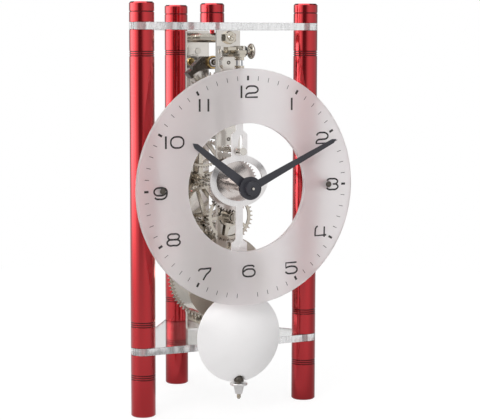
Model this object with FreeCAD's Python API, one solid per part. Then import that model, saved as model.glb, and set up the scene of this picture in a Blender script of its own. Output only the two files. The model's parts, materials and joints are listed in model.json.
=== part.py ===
import FreeCAD, Part
import math
import os
from dataclasses import dataclass

# Desk pendulum clock: three red posts clamp two clear triangular plates, a narrow skeleton movement
# stands between them, and a ring dial and a front pendulum hang before it.
# Millimetres. +X is to the right of someone reading the dial, +Y to the rear, +Z up.
# The origin is on the table, under the middle of the clock's width and depth.

# Posts, feet and caps
POST_RADIUS = 7.5
POST_SPACING = 110.0
FRONT_POST_Y = -22.1
REAR_POST_Y = 53.9
FOOT_TOP = 38.0
PLATE_THICKNESS = 4.5
TOP_PLATE_BOTTOM = 233.5
HEIGHT = 250.0
EDGE_CHAMFER = 0.9
GROOVE_DEPTH = 0.35
GROOVE_HALF_WIDTH = 0.35
GROOVE_PITCH = 1.3
FOOT_GROOVE_Z = 24.3
LOWER_GROOVE_Z = 56.7
UPPER_GROOVE_Z = 219.3
CAP_GROOVE_Z = 244.2
STUD_RADIUS = 2.0
STUD_GRIP = 14.0
CAP_GRIP = 8.0

BOTTOM_PLATE_TOP = FOOT_TOP + PLATE_THICKNESS
TOP_PLATE_TOP = TOP_PLATE_BOTTOM + PLATE_THICKNESS
HALF_DEPTH = REAR_POST_Y + POST_RADIUS
POSTS = {
    "left": (-POST_SPACING / 2, FRONT_POST_Y),
    "right": (POST_SPACING / 2, FRONT_POST_Y),
    "rear": (0.0, REAR_POST_Y),
}

# Movement plates, pillars and their nuts
MOVEMENT_WIDTH = 15.4
MOVEMENT_TOP = 233.2
MOVEMENT_MIDDLE_Y = -2.5
PLATE_GAP = 43.0
MOVEMENT_PLATE = 2.5
PILLAR_RADIUS = 3.1
PILLAR_THREAD_RADIUS = 2.0
PILLAR_THREAD_LENGTH = 6.6
UPPER_PILLAR_Z = 228.9
LOWER_PILLAR_Z = 48.5
NUT_FLATS = 7.0
NUT_HEIGHT = 3.1
CENTRE_STUD_RADIUS = 1.5
BASE_SCREW_HEAD_RADIUS = 3.2
BASE_SCREW_HEAD = 1.6

FRONT_INNER = MOVEMENT_MIDDLE_Y - PLATE_GAP / 2
REAR_INNER = MOVEMENT_MIDDLE_Y + PLATE_GAP / 2
FRONT_OUTER = FRONT_INNER - MOVEMENT_PLATE
REAR_OUTER = REAR_INNER + MOVEMENT_PLATE

# Arbor heights: every arbor stands on the clock's middle line
BARREL_Z = 80.7
SECOND_Z = 112.7
MOTION_Z = 120.0
CENTRE_Z = 139.8
THIRD_Z = 167.3
ESCAPE_Z = 189.0
ANCHOR_Z = 213.8

# Shafts and their running fits
ARBOR_RADIUS = 1.2
PIVOT_RADIUS = 0.6
RUNNING_GAP = 0.05
SIDE_SHAKE = 0.1
ANCHOR_BUSH_RADIUS = 4.6
ANCHOR_BUSH_OFFSET = -3.0
ANCHOR_BUSH_RISE = 1.0
PLUG_RADIUS = 1.95
PLUG_Z = 220.5
PLUG_RISE = 0.4
SIGHT_HOLE_RADIUS = 2.2
SIGHT_HOLE_Z = 101.8

# Teeth, in modules and in shares of one pitch
WHEEL_ADDENDUM = 0.82
PINION_ADDENDUM = 0.62
WHEEL_DEDENDUM = 1.0
PINION_DEDENDUM = 1.15
WHEEL_ROOT_SHARE = 0.5
WHEEL_TIP_SHARE = 0.14
PINION_ROOT_SHARE = 0.4
PINION_TIP_SHARE = 0.18

# Wheels: axial places, spokes and rims
GREAT_FACE = (0.0, 2.0)
SECOND_FACE = (4.4, 5.8)
CENTRE_FACE = (14.6, 16.0)
THIRD_FACE = (10.8, 12.0)
ESCAPE_FACE = (-0.3, 1.1)
MINUTE_FACE = (-28.6, -27.5)
HOUR_FACE = (-33.4, -32.4)
PINION_OVERHANG = 0.8
SPOKES = 5
SECOND_SPOKE_ANGLE = 108.0
MINUTE_SPOKE_ANGLE = 185.0
RIM_MODULES = 2.2
SPOKE_AT_RIM = 2.0
SPOKE_AT_HUB = 3.2
HUB_RADIUS = 4.2

# Barrel
DRUM_RADIUS = 26.8
DRUM_FRONT = -23.6
DRUM_WALL = 1.2
COVER_THICKNESS = 1.2
BARREL_ARBOR_RADIUS = 3.0
BARREL_HUB_RADIUS = 8.0
BARREL_PIVOT_RADIUS = 2.6
SPRING_OUTER_RADIUS = 24.0
SPRING_INNER_RADIUS = 9.5
SPRING_END_GAP = 0.8

# Winding work on the rear plate
RATCHET_TEETH = 24
RATCHET_RADIUS = 8.0
RATCHET_DEPTH = 1.0
RATCHET_FACE = (22.0, 23.6)
WINDING_SQUARE = 3.6
WINDING_END = 32.0
CLICK_X = -4.6
CLICK_Z = 94.2
CLICK_EYE_RADIUS = 2.4
CLICK_SCREW_RADIUS = 1.0
CLICK_HEAD_RADIUS = 1.9
CLICK_HEAD = 0.9
CLICK_NOSE = (-0.35, 88.25)
CLICK_ARM_WIDTH = 1.6
CLICK_SPRING_FOOT = ((1.5, 5.5), (97.5, 100.5))
CLICK_SPRING_TIP = (-1.4, 94.0)
CLICK_SPRING_BEND = (-1.6, 95.5)
CLICK_SPRING_LEAF = 0.5

# Escapement
ESCAPE_TEETH = 40
ESCAPE_RADIUS = 18.6
ESCAPE_ROOT_RADIUS = 16.0
ESCAPE_RIM_RADIUS = 14.4
ESCAPE_LEAN = 0.32
ANCHOR_FACE = (-2.6, 3.4)
ANCHOR_INNER_RADIUS = 21.2
ANCHOR_OUTER_RADIUS = 24.2
ANCHOR_SPAN_TEETH = 9.5
PALLET_RADIUS = 19.85
PALLET_WIDTH_ANGLE = 5.0
ANCHOR_HUB_RADIUS = 3.6
ANCHOR_WEB_TOP = (2.6, 216.5)
ANCHOR_WEB_SHOULDER = (12.0, 209.9)
ANCHOR_WEB_FOOT = (8.0, 209.5)
COLLET_FACE = (-4.6, -2.6)
COLLET_RADIUS = 4.0
COLLET_STEP_RADIUS = 2.6
COLLET_STEP = 0.4
CRUTCH_FACE = (-22.8, -21.6)
CRUTCH_HUB_RADIUS = 2.8
CRUTCH_BOW_X = -5.7
CRUTCH_WIDTH = 2.4
CRUTCH_PIN_Z = 161.0
CRUTCH_PIN_RADIUS = 1.5
CRUTCH_PIN_FRONT = -47.6
CRUTCH_HEAD_RADIUS = 2.3
CRUTCH_HEAD = 1.2
CRUTCH_WINDOW_HALF = 5.0
CRUTCH_WINDOW_RADIUS = 2.6

# Beat adjuster and suspension before the front plate
BRACKET_HALF_WIDTH = 8.0
BRACKET_SHEET = 1.6
BRACKET_FRONT = -33.2
BRACKET_FLOOR_Z = (217.3, 219.0)
BRACKET_TOP = 224.0
BRACKET_LEG_BOTTOM = 206.5
LEG_WAIST_Z = (211.8, 215.6)
LEG_WAIST_DEPTH = 3.0
BEAT_AXIS_Y = -30.6
BEAT_AXIS_Z = 220.7
BEAT_SHAFT_RADIUS = 1.5
BEAT_COLLAR_RADIUS = 2.85
BEAT_COLLAR_X = (3.2, 6.3)
BEAT_HUB_RADIUS = 2.6
BEAT_KNOB_RADIUS = 4.7
BEAT_KNOB_X = (12.0, 14.1)
BEAT_KNOB_CROWN = 0.6
CARRIAGE_X = (-3.4, 2.2)
CARRIAGE_Y = (-33.0, -27.4)
CARRIAGE_Z = (219.2, 223.2)
TONGUE_HALF_WIDTH = 2.4
TONGUE_FRONT = -46.6
TONGUE_TOP = 221.4
CLAMP_HALF_WIDTH = 1.9
SUSPENSION_Y = -41.6
SUSPENSION_HALF_DEPTH = 4.75
SUSPENSION_HALF_WIDTH = 0.9
UPPER_BLOCK_Z = (215.4, 217.3)
LOWER_BLOCK_Z = (209.6, 212.2)
SPRING_OFFSET = 3.4
SPRING_STRIP_WIDTH = 2.4
SPRING_STRIP_THICKNESS = 0.2

# Pendulum rod: strip, keyhole plate, oval loop and lower strip
ROD_THICKNESS = 1.2
STRIP_HALF_WIDTH = 2.3
KEYHOLE_HALF_WIDTH = 5.2
KEYHOLE_TOP = 173.3
SHOULDER = 2.2
KEYHOLE_EYE_RADIUS = 2.7
SLOT_HALF_WIDTH = 1.5
SLOT_TOP = 170.6
SLOT_SHIFT = 0.9
LOOP_Z = 142.9
LOOP_OUTER = (19.1, 15.6)
LOOP_INNER = (15.25, 11.95)
LOWER_STRIP_TOP = 107.3
ROD_BOTTOM = 34.0
RATING_ROD_RADIUS = 1.35
RATING_ROD_BOTTOM = 8.8
RATING_ROD_TOP = 40.0
HOOK_Y = (-49.7, -48.5)
HOOK_Z = (73.9, 84.6)
HOOK_STEM_HALF = 2.2

# Bob and rating nut
BOB_RADIUS = 28.0
BOB_Z = 47.5
BOB_FRONT_RISE = 6.4
BOB_BACK_RISE = 5.2
BOB_WALL = 1.1
BOB_SLOT_GAP = 0.4
BOB_ARCH_RADIUS = 3.9
BOB_ARCH_RISE = 0.4
RATING_TOP = 19.2
RATING_FLANGE_RADIUS = 5.3
RATING_FLANGE_EDGE = (17.6, 18.7)
RATING_NECK_TOP = (3.1, 16.2)
RATING_NECK_BOTTOM = (2.2, 12.2)

# Dial and its standoffs
DIAL_OUTER_RADIUS = 71.0
DIAL_INNER_RADIUS = 38.5
DIAL_FRONT = -53.4
DIAL_THICKNESS = 3.0
STANDOFF_RADIUS = 3.0
DIAL_SCREW_RADIUS = 1.25
DIAL_SCREW_HEAD_RADIUS = 1.8
DIAL_SCREW_HEAD = 0.9
DIAL_SCREW_LENGTH = 11.0

# Motion work and hands; a hand's size is hub radius, length, and half width at the hub and near the tip
CANNON_BORE = 1.25
CANNON_RADIUS = 1.9
CANNON_FACE = (-29.3, -27.2)
CANNON_FRONT = -60.0
HOUR_PIPE_RADIUS = 2.9
HOUR_BOSS_RADIUS = 4.6
HOUR_BOSS_FRONT = -35.4
HOUR_PIPE_FRONT = -55.6
MINUTE_HUB_RADIUS = 6.2
MINUTE_HUB_FRONT = -29.2
MINUTE_PINION_FRONT = -34.2
MOTION_STUD_FRONT = -35.0
MOTION_STUD_HEAD_RADIUS = 2.5
MOTION_STUD_HEAD = 0.6
ARBOR_FRONT_STEP = -59.6
ARBOR_TIP_RADIUS = 0.8
HAND_NUT_RADIUS = 4.4
HAND_THICKNESS = 0.7
HOUR_HAND_FRONT = -55.2
MINUTE_HAND_FRONT = -57.8
HAND_NUT_FRONT = -60.9
HOUR_HAND_ANGLE = 143.0
MINUTE_HAND_ANGLE = 25.7
HOUR_HAND_SIZE = (6.6, 45.7, 3.1, 1.6)
MINUTE_HAND_SIZE = (7.0, 64.3, 2.55, 1.3)
HAND_POINT = 2.6

AXIS_X = FreeCAD.Vector(1, 0, 0)
AXIS_Y = FreeCAD.Vector(0, 1, 0)
AXIS_Z = FreeCAD.Vector(0, 0, 1)
TOP = 90.0
BOTTOM = -90.0


@dataclass(frozen=True)
class Mesh:
    """Two sets of teeth that meet on the middle line, one above the other."""

    lower_teeth: int
    upper_teeth: int
    lower_z: float
    upper_z: float

    @property
    def module(self):
        """Pitch diameter per tooth, from the distance between the two arbors."""
        return 2 * (self.upper_z - self.lower_z) / (self.lower_teeth + self.upper_teeth)

    def lower_tooth_angle(self):
        """The lower set has a tooth at its top."""
        return TOP

    def upper_tooth_angle(self):
        """The upper set has a gap at its bottom, where the lower set's tooth stands."""
        return BOTTOM + 180.0 / self.upper_teeth


GREAT_MESH = Mesh(70, 10, BARREL_Z, SECOND_Z)
SECOND_MESH = Mesh(72, 10, SECOND_Z, CENTRE_Z)
CENTRE_MESH = Mesh(80, 8, CENTRE_Z, THIRD_Z)
THIRD_MESH = Mesh(77, 7, THIRD_Z, ESCAPE_Z)
CANNON_MESH = Mesh(36, 12, MOTION_Z, CENTRE_Z)
HOUR_MESH = Mesh(12, 48, MOTION_Z, CENTRE_Z)


# Basic shapes


def block(x_range, y_range, z_range):
    """Box between two values on each axis."""
    size = [high - low for low, high in (x_range, y_range, z_range)]
    return Part.makeBox(*size, FreeCAD.Vector(x_range[0], y_range[0], z_range[0]))


def rod_x(radius, x_range, y, z):
    """Cylinder along X."""
    return Part.makeCylinder(radius, x_range[1] - x_range[0], FreeCAD.Vector(x_range[0], y, z), AXIS_X)


def rod_y(radius, y_range, x, z):
    """Cylinder along Y."""
    return Part.makeCylinder(radius, y_range[1] - y_range[0], FreeCAD.Vector(x, y_range[0], z), AXIS_Y)


def rod_z(radius, z_range, x, y):
    """Cylinder along Z."""
    return Part.makeCylinder(radius, z_range[1] - z_range[0], FreeCAD.Vector(x, y, z_range[0]), AXIS_Z)


def tube_y(outer, inner, y_range, x, z):
    """Hollow cylinder along Y."""
    return rod_y(outer, y_range, x, z).cut(rod_y(inner, y_range, x, z))


def polar(radius, angle, z_centre=0.0):
    """Point (x, z) at an angle in degrees from +X towards +Z."""
    turn = math.radians(angle)
    return (radius * math.cos(turn), z_centre + radius * math.sin(turn))


def front_point(point, y):
    """A point (x, z) of a front view, placed at depth y."""
    return FreeCAD.Vector(point[0], y, point[1])


def slab(points, y_range):
    """Straight-sided outline of (x, z) points, made into a plate between two depths."""
    corners = [front_point(point, y_range[0]) for point in points]
    face = Part.Face(Part.makePolygon(corners + corners[:1]))
    return face.extrude(AXIS_Y * (y_range[1] - y_range[0]))


def turned_z(profile, x, y):
    """Solid of revolution about a vertical axis, from (radius, z) points."""
    corners = [FreeCAD.Vector(radius, 0, z) for radius, z in profile]
    face = Part.Face(Part.makePolygon(corners + corners[:1]))
    solid = face.revolve(FreeCAD.Vector(0, 0, 0), AXIS_Z, 360)
    return solid.translated(FreeCAD.Vector(x, y, 0))


def fused(*shapes):
    """One solid from several that meet."""
    return shapes[0].multiFuse(list(shapes[1:])).removeSplitter()


# Teeth and wheels


def toothed_outline(teeth, root_radius, tip_radius, root_share, tip_share, tooth_angle, z_centre):
    """Points of a ring of straight-flanked teeth, with one tooth centred on tooth_angle."""
    points = []
    for index in range(teeth):
        middle = tooth_angle + index * 360.0 / teeth
        for radius, share, side in (
            (root_radius, root_share, -1),
            (tip_radius, tip_share, -1),
            (tip_radius, tip_share, 1),
            (root_radius, root_share, 1),
        ):
            points.append(polar(radius, middle + side * share * 180.0 / teeth, z_centre))
    return points


def wheel_blank(teeth, module, tooth_angle, y_range, z_centre):
    """Solid wheel disc with its teeth."""
    pitch_radius = teeth * module / 2
    outline = toothed_outline(
        teeth,
        pitch_radius - WHEEL_DEDENDUM * module,
        pitch_radius + WHEEL_ADDENDUM * module,
        WHEEL_ROOT_SHARE,
        WHEEL_TIP_SHARE,
        tooth_angle,
        z_centre,
    )
    return slab(outline, y_range)


def pinion(teeth, module, tooth_angle, y_range, z_centre):
    """Leaves of a pinion, solid to the middle."""
    pitch_radius = teeth * module / 2
    outline = toothed_outline(
        teeth,
        pitch_radius - PINION_DEDENDUM * module,
        pitch_radius + PINION_ADDENDUM * module,
        PINION_ROOT_SHARE,
        PINION_TIP_SHARE,
        tooth_angle,
        z_centre,
    )
    return slab(outline, y_range)


def crossing(rim_radius, hub_radius, start, end, y_range, z_centre):
    """Opening between two spokes that stand at the angles start and end."""
    outer_edge = math.degrees(math.asin(SPOKE_AT_RIM / 2 / rim_radius))
    inner_edge = math.degrees(math.asin(SPOKE_AT_HUB / 2 / hub_radius))
    middle = (start + end) / 2

    def at(radius, angle):
        return front_point(polar(radius, angle, z_centre), y_range[0])

    outer = [at(rim_radius, angle) for angle in (start + outer_edge, middle, end - outer_edge)]
    inner = [at(hub_radius, angle) for angle in (end - inner_edge, middle, start + inner_edge)]
    edges = [
        Part.Arc(*outer).toShape(),
        Part.LineSegment(outer[2], inner[0]).toShape(),
        Part.Arc(*inner).toShape(),
        Part.LineSegment(inner[2], outer[0]).toShape(),
    ]
    return Part.Face(Part.Wire(edges)).extrude(AXIS_Y * (y_range[1] - y_range[0]))


def crossed(wheel, rim_radius, hub_radius, first_spoke, y_range, z_centre):
    """Cut the openings between the spokes out of a wheel."""
    step = 360.0 / SPOKES
    angles = [first_spoke + index * step for index in range(SPOKES)]
    openings = [crossing(rim_radius, hub_radius, a, a + step, y_range, z_centre) for a in angles]
    return wheel.cut(Part.makeCompound(openings))


def spoked_wheel(mesh, first_spoke, bore, y_range):
    """The lower, larger wheel of a mesh, with spokes and a bore for its arbor."""
    module = mesh.module
    rim_radius = mesh.lower_teeth * module / 2 - RIM_MODULES * module - WHEEL_DEDENDUM * module
    wheel = wheel_blank(mesh.lower_teeth, module, mesh.lower_tooth_angle(), y_range, mesh.lower_z)
    wheel = crossed(wheel, rim_radius, HUB_RADIUS, first_spoke, y_range, mesh.lower_z)
    return wheel.cut(rod_y(bore, y_range, 0, mesh.lower_z))


def train_arbor(mesh, wheel_face, body_range=None):
    """Arbor with pivots in both plates and the upper, smaller set of teeth of a mesh."""
    z = mesh.upper_z
    body = body_range or (FRONT_INNER + SIDE_SHAKE, REAR_INNER - SIDE_SHAKE)
    leaves_range = (wheel_face[0] - PINION_OVERHANG, wheel_face[1] + PINION_OVERHANG)
    leaves = pinion(mesh.upper_teeth, mesh.module, mesh.upper_tooth_angle(), leaves_range, z)
    shaft = rod_y(min(ARBOR_RADIUS, leaf_root(mesh)), body, 0, z)
    pivots = rod_y(PIVOT_RADIUS, (FRONT_OUTER, REAR_OUTER), 0, z)
    return fused(shaft, leaves, pivots)


def leaf_root(mesh):
    """Radius at the bottom of the leaves of a mesh's upper pinion, less a hair."""
    return mesh.upper_teeth * mesh.module / 2 - PINION_DEDENDUM * mesh.module - RUNNING_GAP


# Posts, plates and fasteners of the frame


def grooves(z_middle, count):
    """Heights of a group of turned grooves around one height."""
    first = z_middle - GROOVE_PITCH * (count - 1) / 2
    return [first + GROOVE_PITCH * index for index in range(count)]


def turned_bar(z_range, groove_heights, place, chamfer_bottom=False, chamfer_top=False):
    """Round bar of a post with V grooves and, where asked, chamfered ends."""
    low, high = z_range
    profile = [(0.0, low)]
    if chamfer_bottom:
        profile += [(POST_RADIUS - EDGE_CHAMFER, low), (POST_RADIUS, low + EDGE_CHAMFER)]
    else:
        profile.append((POST_RADIUS, low))
    for height in groove_heights:
        profile += [
            (POST_RADIUS, height - GROOVE_HALF_WIDTH),
            (POST_RADIUS - GROOVE_DEPTH, height),
            (POST_RADIUS, height + GROOVE_HALF_WIDTH),
        ]
    if chamfer_top:
        profile += [(POST_RADIUS, high - EDGE_CHAMFER), (POST_RADIUS - EDGE_CHAMFER, high)]
    else:
        profile.append((POST_RADIUS, high))
    profile.append((0.0, high))
    return turned_z(profile, *place)


def foot(place):
    """Foot under the bottom plate, tapped for the lower stud."""
    bar = turned_bar((0.0, FOOT_TOP), grooves(FOOT_GROOVE_Z, 3), place, chamfer_bottom=True)
    return bar.cut(rod_z(STUD_RADIUS, (FOOT_TOP - STUD_GRIP, FOOT_TOP), *place))


def post(place):
    """Long bar between the plates, tapped at both ends."""
    heights = grooves(LOWER_GROOVE_Z, 3) + grooves(UPPER_GROOVE_Z, 3)
    bar = turned_bar((BOTTOM_PLATE_TOP, TOP_PLATE_BOTTOM), heights, place)
    lower = rod_z(STUD_RADIUS, (BOTTOM_PLATE_TOP, BOTTOM_PLATE_TOP + STUD_GRIP), *place)
    upper = rod_z(STUD_RADIUS, (TOP_PLATE_BOTTOM - STUD_GRIP, TOP_PLATE_BOTTOM), *place)
    return bar.cut(lower).cut(upper)


def cap(place, stud_radius):
    """Knurl-free screw cap on the top plate with one groove and a chamfered top."""
    bar = turned_bar((TOP_PLATE_TOP, HEIGHT), [CAP_GROOVE_Z], place, chamfer_top=True)
    return bar.cut(rod_z(stud_radius, (TOP_PLATE_TOP, TOP_PLATE_TOP + CAP_GRIP), *place))


def frame_studs():
    """Red studs that join feet, posts and caps through the plates, and the movement's two fixings."""
    studs = [centre_stud(), base_screw()]
    for place in POSTS.values():
        studs.append(rod_z(STUD_RADIUS, (FOOT_TOP - STUD_GRIP, BOTTOM_PLATE_TOP + STUD_GRIP), *place))
        studs.append(rod_z(STUD_RADIUS, (TOP_PLATE_BOTTOM - STUD_GRIP, TOP_PLATE_TOP + CAP_GRIP), *place))
    return Part.makeCompound(studs)


def centre_stud():
    """Stud that hangs the upper pillar from the centre cap."""
    return rod_z(CENTRE_STUD_RADIUS, (UPPER_PILLAR_Z, TOP_PLATE_TOP + CAP_GRIP), 0, MOVEMENT_MIDDLE_Y)


def base_screw():
    """Screw that holds the lower pillar to the bottom plate from below."""
    head = rod_z(BASE_SCREW_HEAD_RADIUS, (FOOT_TOP - BASE_SCREW_HEAD, FOOT_TOP), 0, MOVEMENT_MIDDLE_Y)
    shank = rod_z(CENTRE_STUD_RADIUS, (FOOT_TOP, LOWER_PILLAR_Z), 0, MOVEMENT_MIDDLE_Y)
    return fused(head, shank)


def triangular_plate(bottom, centre_hole):
    """Clear plate whose rounded corners are flush with the posts."""
    places = [FreeCAD.Vector(x, y, bottom) for x, y in POSTS.values()]
    edges = []
    for index, here in enumerate(places):
        before = outward_normal(places[index - 1], here) * POST_RADIUS
        after = outward_normal(here, places[(index + 1) % len(places)]) * POST_RADIUS
        corner = (before + after).normalize() * POST_RADIUS
        edges.append(Part.Arc(here + before, here + corner, here + after).toShape())
        following = places[(index + 1) % len(places)]
        edges.append(Part.LineSegment(here + after, following + after).toShape())
    plate = Part.Face(Part.Wire(edges)).extrude(AXIS_Z * PLATE_THICKNESS)
    span = (bottom, bottom + PLATE_THICKNESS)
    holes = [rod_z(STUD_RADIUS, span, *place) for place in POSTS.values()]
    holes.append(rod_z(centre_hole, span, 0, MOVEMENT_MIDDLE_Y))
    return plate.cut(Part.makeCompound(holes))


def outward_normal(start, end):
    """Unit normal of a side, pointing out of the triangle that runs anticlockwise."""
    side = (end - start).normalize()
    return FreeCAD.Vector(side.y, -side.x, 0)


# Movement frame


def pivot_holes(y_range, heights):
    """Holes that the pivots of the train run in."""
    return [rod_y(PIVOT_RADIUS + RUNNING_GAP, y_range, 0, z) for z in heights]


def front_plate():
    """Narrow front plate with pivot holes, the crutch window and a sighting hole."""
    y_range = (FRONT_OUTER, FRONT_INNER)
    half = MOVEMENT_WIDTH / 2
    plate = block((-half, half), y_range, (BOTTOM_PLATE_TOP, MOVEMENT_TOP))
    window_z = (CRUTCH_PIN_Z - CRUTCH_WINDOW_RADIUS, CRUTCH_PIN_Z + CRUTCH_WINDOW_RADIUS)
    reach = CRUTCH_WINDOW_HALF - CRUTCH_WINDOW_RADIUS
    window = fused(
        block((-reach, reach), y_range, window_z),
        rod_y(CRUTCH_WINDOW_RADIUS, y_range, -reach, CRUTCH_PIN_Z),
        rod_y(CRUTCH_WINDOW_RADIUS, y_range, reach, CRUTCH_PIN_Z),
    )
    holes = pivot_holes(y_range, (SECOND_Z, THIRD_Z, ESCAPE_Z, ANCHOR_Z)) + [
        window,
        rod_y(ARBOR_RADIUS + RUNNING_GAP, y_range, 0, CENTRE_Z),
        rod_y(SIGHT_HOLE_RADIUS, y_range, 0, SIGHT_HOLE_Z),
        rod_y(BARREL_PIVOT_RADIUS + RUNNING_GAP, y_range, 0, BARREL_Z),
        rod_y(ARBOR_RADIUS, y_range, 0, MOTION_Z),
        rod_y(PILLAR_THREAD_RADIUS, y_range, 0, UPPER_PILLAR_Z),
        rod_y(PILLAR_THREAD_RADIUS, y_range, 0, LOWER_PILLAR_Z),
    ]
    return plate.cut(Part.makeCompound(holes))


def back_plate():
    """Rear plate with the large anchor bush seat and the winding arbor's hole."""
    y_range = (REAR_INNER, REAR_OUTER)
    half = MOVEMENT_WIDTH / 2
    plate = block((-half, half), y_range, (BOTTOM_PLATE_TOP, MOVEMENT_TOP))
    holes = pivot_holes(y_range, (SECOND_Z, CENTRE_Z, THIRD_Z, ESCAPE_Z)) + [
        rod_y(ANCHOR_BUSH_RADIUS, y_range, ANCHOR_BUSH_OFFSET, ANCHOR_Z),
        rod_y(BARREL_PIVOT_RADIUS + RUNNING_GAP, y_range, 0, BARREL_Z),
        rod_y(CLICK_SCREW_RADIUS, y_range, CLICK_X, CLICK_Z),
        rod_y(PLUG_RADIUS, y_range, 0, PLUG_Z),
        rod_y(PILLAR_THREAD_RADIUS, y_range, 0, UPPER_PILLAR_Z),
        rod_y(PILLAR_THREAD_RADIUS, y_range, 0, LOWER_PILLAR_Z),
    ]
    return plate.cut(Part.makeCompound(holes))


def anchor_bush():
    """Large eccentric brass bush that sets the anchor's depth."""
    y_range = (REAR_INNER - ANCHOR_BUSH_RISE, REAR_OUTER)
    disc = rod_y(ANCHOR_BUSH_RADIUS, y_range, ANCHOR_BUSH_OFFSET, ANCHOR_Z)
    return disc.cut(rod_y(PIVOT_RADIUS + RUNNING_GAP, y_range, 0, ANCHOR_Z))


def pillar(z, tapped_up):
    """Round distance pillar with threaded ends and a tapped hole across its middle."""
    bar = rod_y(PILLAR_RADIUS, (FRONT_INNER, REAR_INNER), 0, z)
    ends = (FRONT_INNER - PILLAR_THREAD_LENGTH, REAR_INNER + PILLAR_THREAD_LENGTH)
    thread = rod_y(PILLAR_THREAD_RADIUS, ends, 0, z)
    tapped = (z, z + PILLAR_RADIUS) if tapped_up else (z - PILLAR_RADIUS, z)
    return fused(bar, thread).cut(rod_z(CENTRE_STUD_RADIUS, tapped, 0, MOVEMENT_MIDDLE_Y))


def pillar_nuts():
    """Four hexagon nuts that clamp the plates to the pillars."""
    corner = NUT_FLATS / math.sqrt(3)
    nuts = []
    for z in (UPPER_PILLAR_Z, LOWER_PILLAR_Z):
        hexagon = [polar(corner, 60 * index, z) for index in range(6)]
        for y_range in (
            (FRONT_OUTER - NUT_HEIGHT, FRONT_OUTER),
            (REAR_OUTER, REAR_OUTER + NUT_HEIGHT),
        ):
            nuts.append(slab(hexagon, y_range).cut(rod_y(PILLAR_THREAD_RADIUS, y_range, 0, z)))
    return Part.makeCompound(nuts)


def plate_plug():
    """Round plug pressed into the rear plate above the anchor."""
    return rod_y(PLUG_RADIUS, (REAR_INNER - PLUG_RISE, REAR_OUTER), 0, PLUG_Z)


# Barrel and winding work


def barrel():
    """Spring drum with its cover."""
    return Part.makeCompound([barrel_drum(), barrel_cover()])


def barrel_drum():
    """Spring drum in one piece with the great wheel's teeth, open at the rear."""
    module = GREAT_MESH.module
    teeth = wheel_blank(GREAT_MESH.lower_teeth, module, GREAT_MESH.lower_tooth_angle(), GREAT_FACE, BARREL_Z)
    drum = rod_y(DRUM_RADIUS, (DRUM_FRONT, GREAT_FACE[0]), 0, BARREL_Z)
    hollow = rod_y(DRUM_RADIUS - DRUM_WALL, (DRUM_FRONT + DRUM_WALL, GREAT_FACE[1]), 0, BARREL_Z)
    bore = rod_y(BARREL_ARBOR_RADIUS + RUNNING_GAP, (DRUM_FRONT, GREAT_FACE[1]), 0, BARREL_Z)
    return fused(drum, teeth).cut(hollow).cut(bore)


def barrel_cover():
    """Disc that closes the drum from the rear."""
    y_range = (GREAT_FACE[1] - COVER_THICKNESS, GREAT_FACE[1])
    inner = BARREL_ARBOR_RADIUS + RUNNING_GAP
    return tube_y(DRUM_RADIUS - DRUM_WALL, inner, y_range, 0, BARREL_Z)


def mainspring():
    """The wound spring's coils as one ring inside the drum."""
    y_range = (DRUM_FRONT + DRUM_WALL + SPRING_END_GAP, GREAT_FACE[1] - COVER_THICKNESS - SPRING_END_GAP)
    return tube_y(SPRING_OUTER_RADIUS, SPRING_INNER_RADIUS, y_range, 0, BARREL_Z)


def barrel_arbor():
    """Arbor through the drum with its spring hub, two pivots and a square for the key."""
    hub = (DRUM_FRONT + DRUM_WALL + SIDE_SHAKE, GREAT_FACE[1] - COVER_THICKNESS - SIDE_SHAKE)
    body = (FRONT_INNER + SIDE_SHAKE, REAR_INNER - SIDE_SHAKE)
    half = WINDING_SQUARE / 2
    square = block((-half, half), (RATCHET_FACE[0], WINDING_END), (BARREL_Z - half, BARREL_Z + half))
    return fused(
        rod_y(BARREL_HUB_RADIUS, hub, 0, BARREL_Z),
        rod_y(BARREL_ARBOR_RADIUS, body, 0, BARREL_Z),
        rod_y(BARREL_PIVOT_RADIUS, (FRONT_OUTER, RATCHET_FACE[0]), 0, BARREL_Z),
        square,
    )


def ratchet_wheel():
    """Saw-toothed wheel on the winding arbor; its radial faces stop it turning back."""
    points = []
    for index in range(RATCHET_TEETH):
        angle = TOP + index * 360.0 / RATCHET_TEETH
        points.append(polar(RATCHET_RADIUS, angle, BARREL_Z))
        points.append(polar(RATCHET_RADIUS - RATCHET_DEPTH, angle, BARREL_Z))
    half = WINDING_SQUARE / 2
    hole = block((-half, half), RATCHET_FACE, (BARREL_Z - half, BARREL_Z + half))
    return slab(points, RATCHET_FACE).cut(hole)


def click():
    """Pawl that drops into the ratchet wheel's teeth."""
    eye = rod_y(CLICK_EYE_RADIUS, RATCHET_FACE, CLICK_X, CLICK_Z)
    nose_x, nose_z = CLICK_NOSE
    arm = slab(
        [
            (CLICK_X - CLICK_EYE_RADIUS, CLICK_Z),
            (nose_x - CLICK_ARM_WIDTH, nose_z + CLICK_ARM_WIDTH / 2),
            (nose_x, nose_z),
            (nose_x, nose_z + CLICK_ARM_WIDTH),
            (CLICK_X + CLICK_EYE_RADIUS, CLICK_Z),
            (CLICK_X, CLICK_Z + CLICK_EYE_RADIUS),
        ],
        RATCHET_FACE,
    )
    return fused(eye, arm).cut(rod_y(CLICK_SCREW_RADIUS + RUNNING_GAP, RATCHET_FACE, CLICK_X, CLICK_Z))


def click_screw():
    """Shouldered screw that the click turns on."""
    shank = rod_y(CLICK_SCREW_RADIUS, (REAR_INNER, RATCHET_FACE[1] + SIDE_SHAKE), CLICK_X, CLICK_Z)
    head_from = RATCHET_FACE[1] + SIDE_SHAKE
    head = rod_y(CLICK_HEAD_RADIUS, (head_from, head_from + CLICK_HEAD), CLICK_X, CLICK_Z)
    return fused(shank, head)


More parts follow.
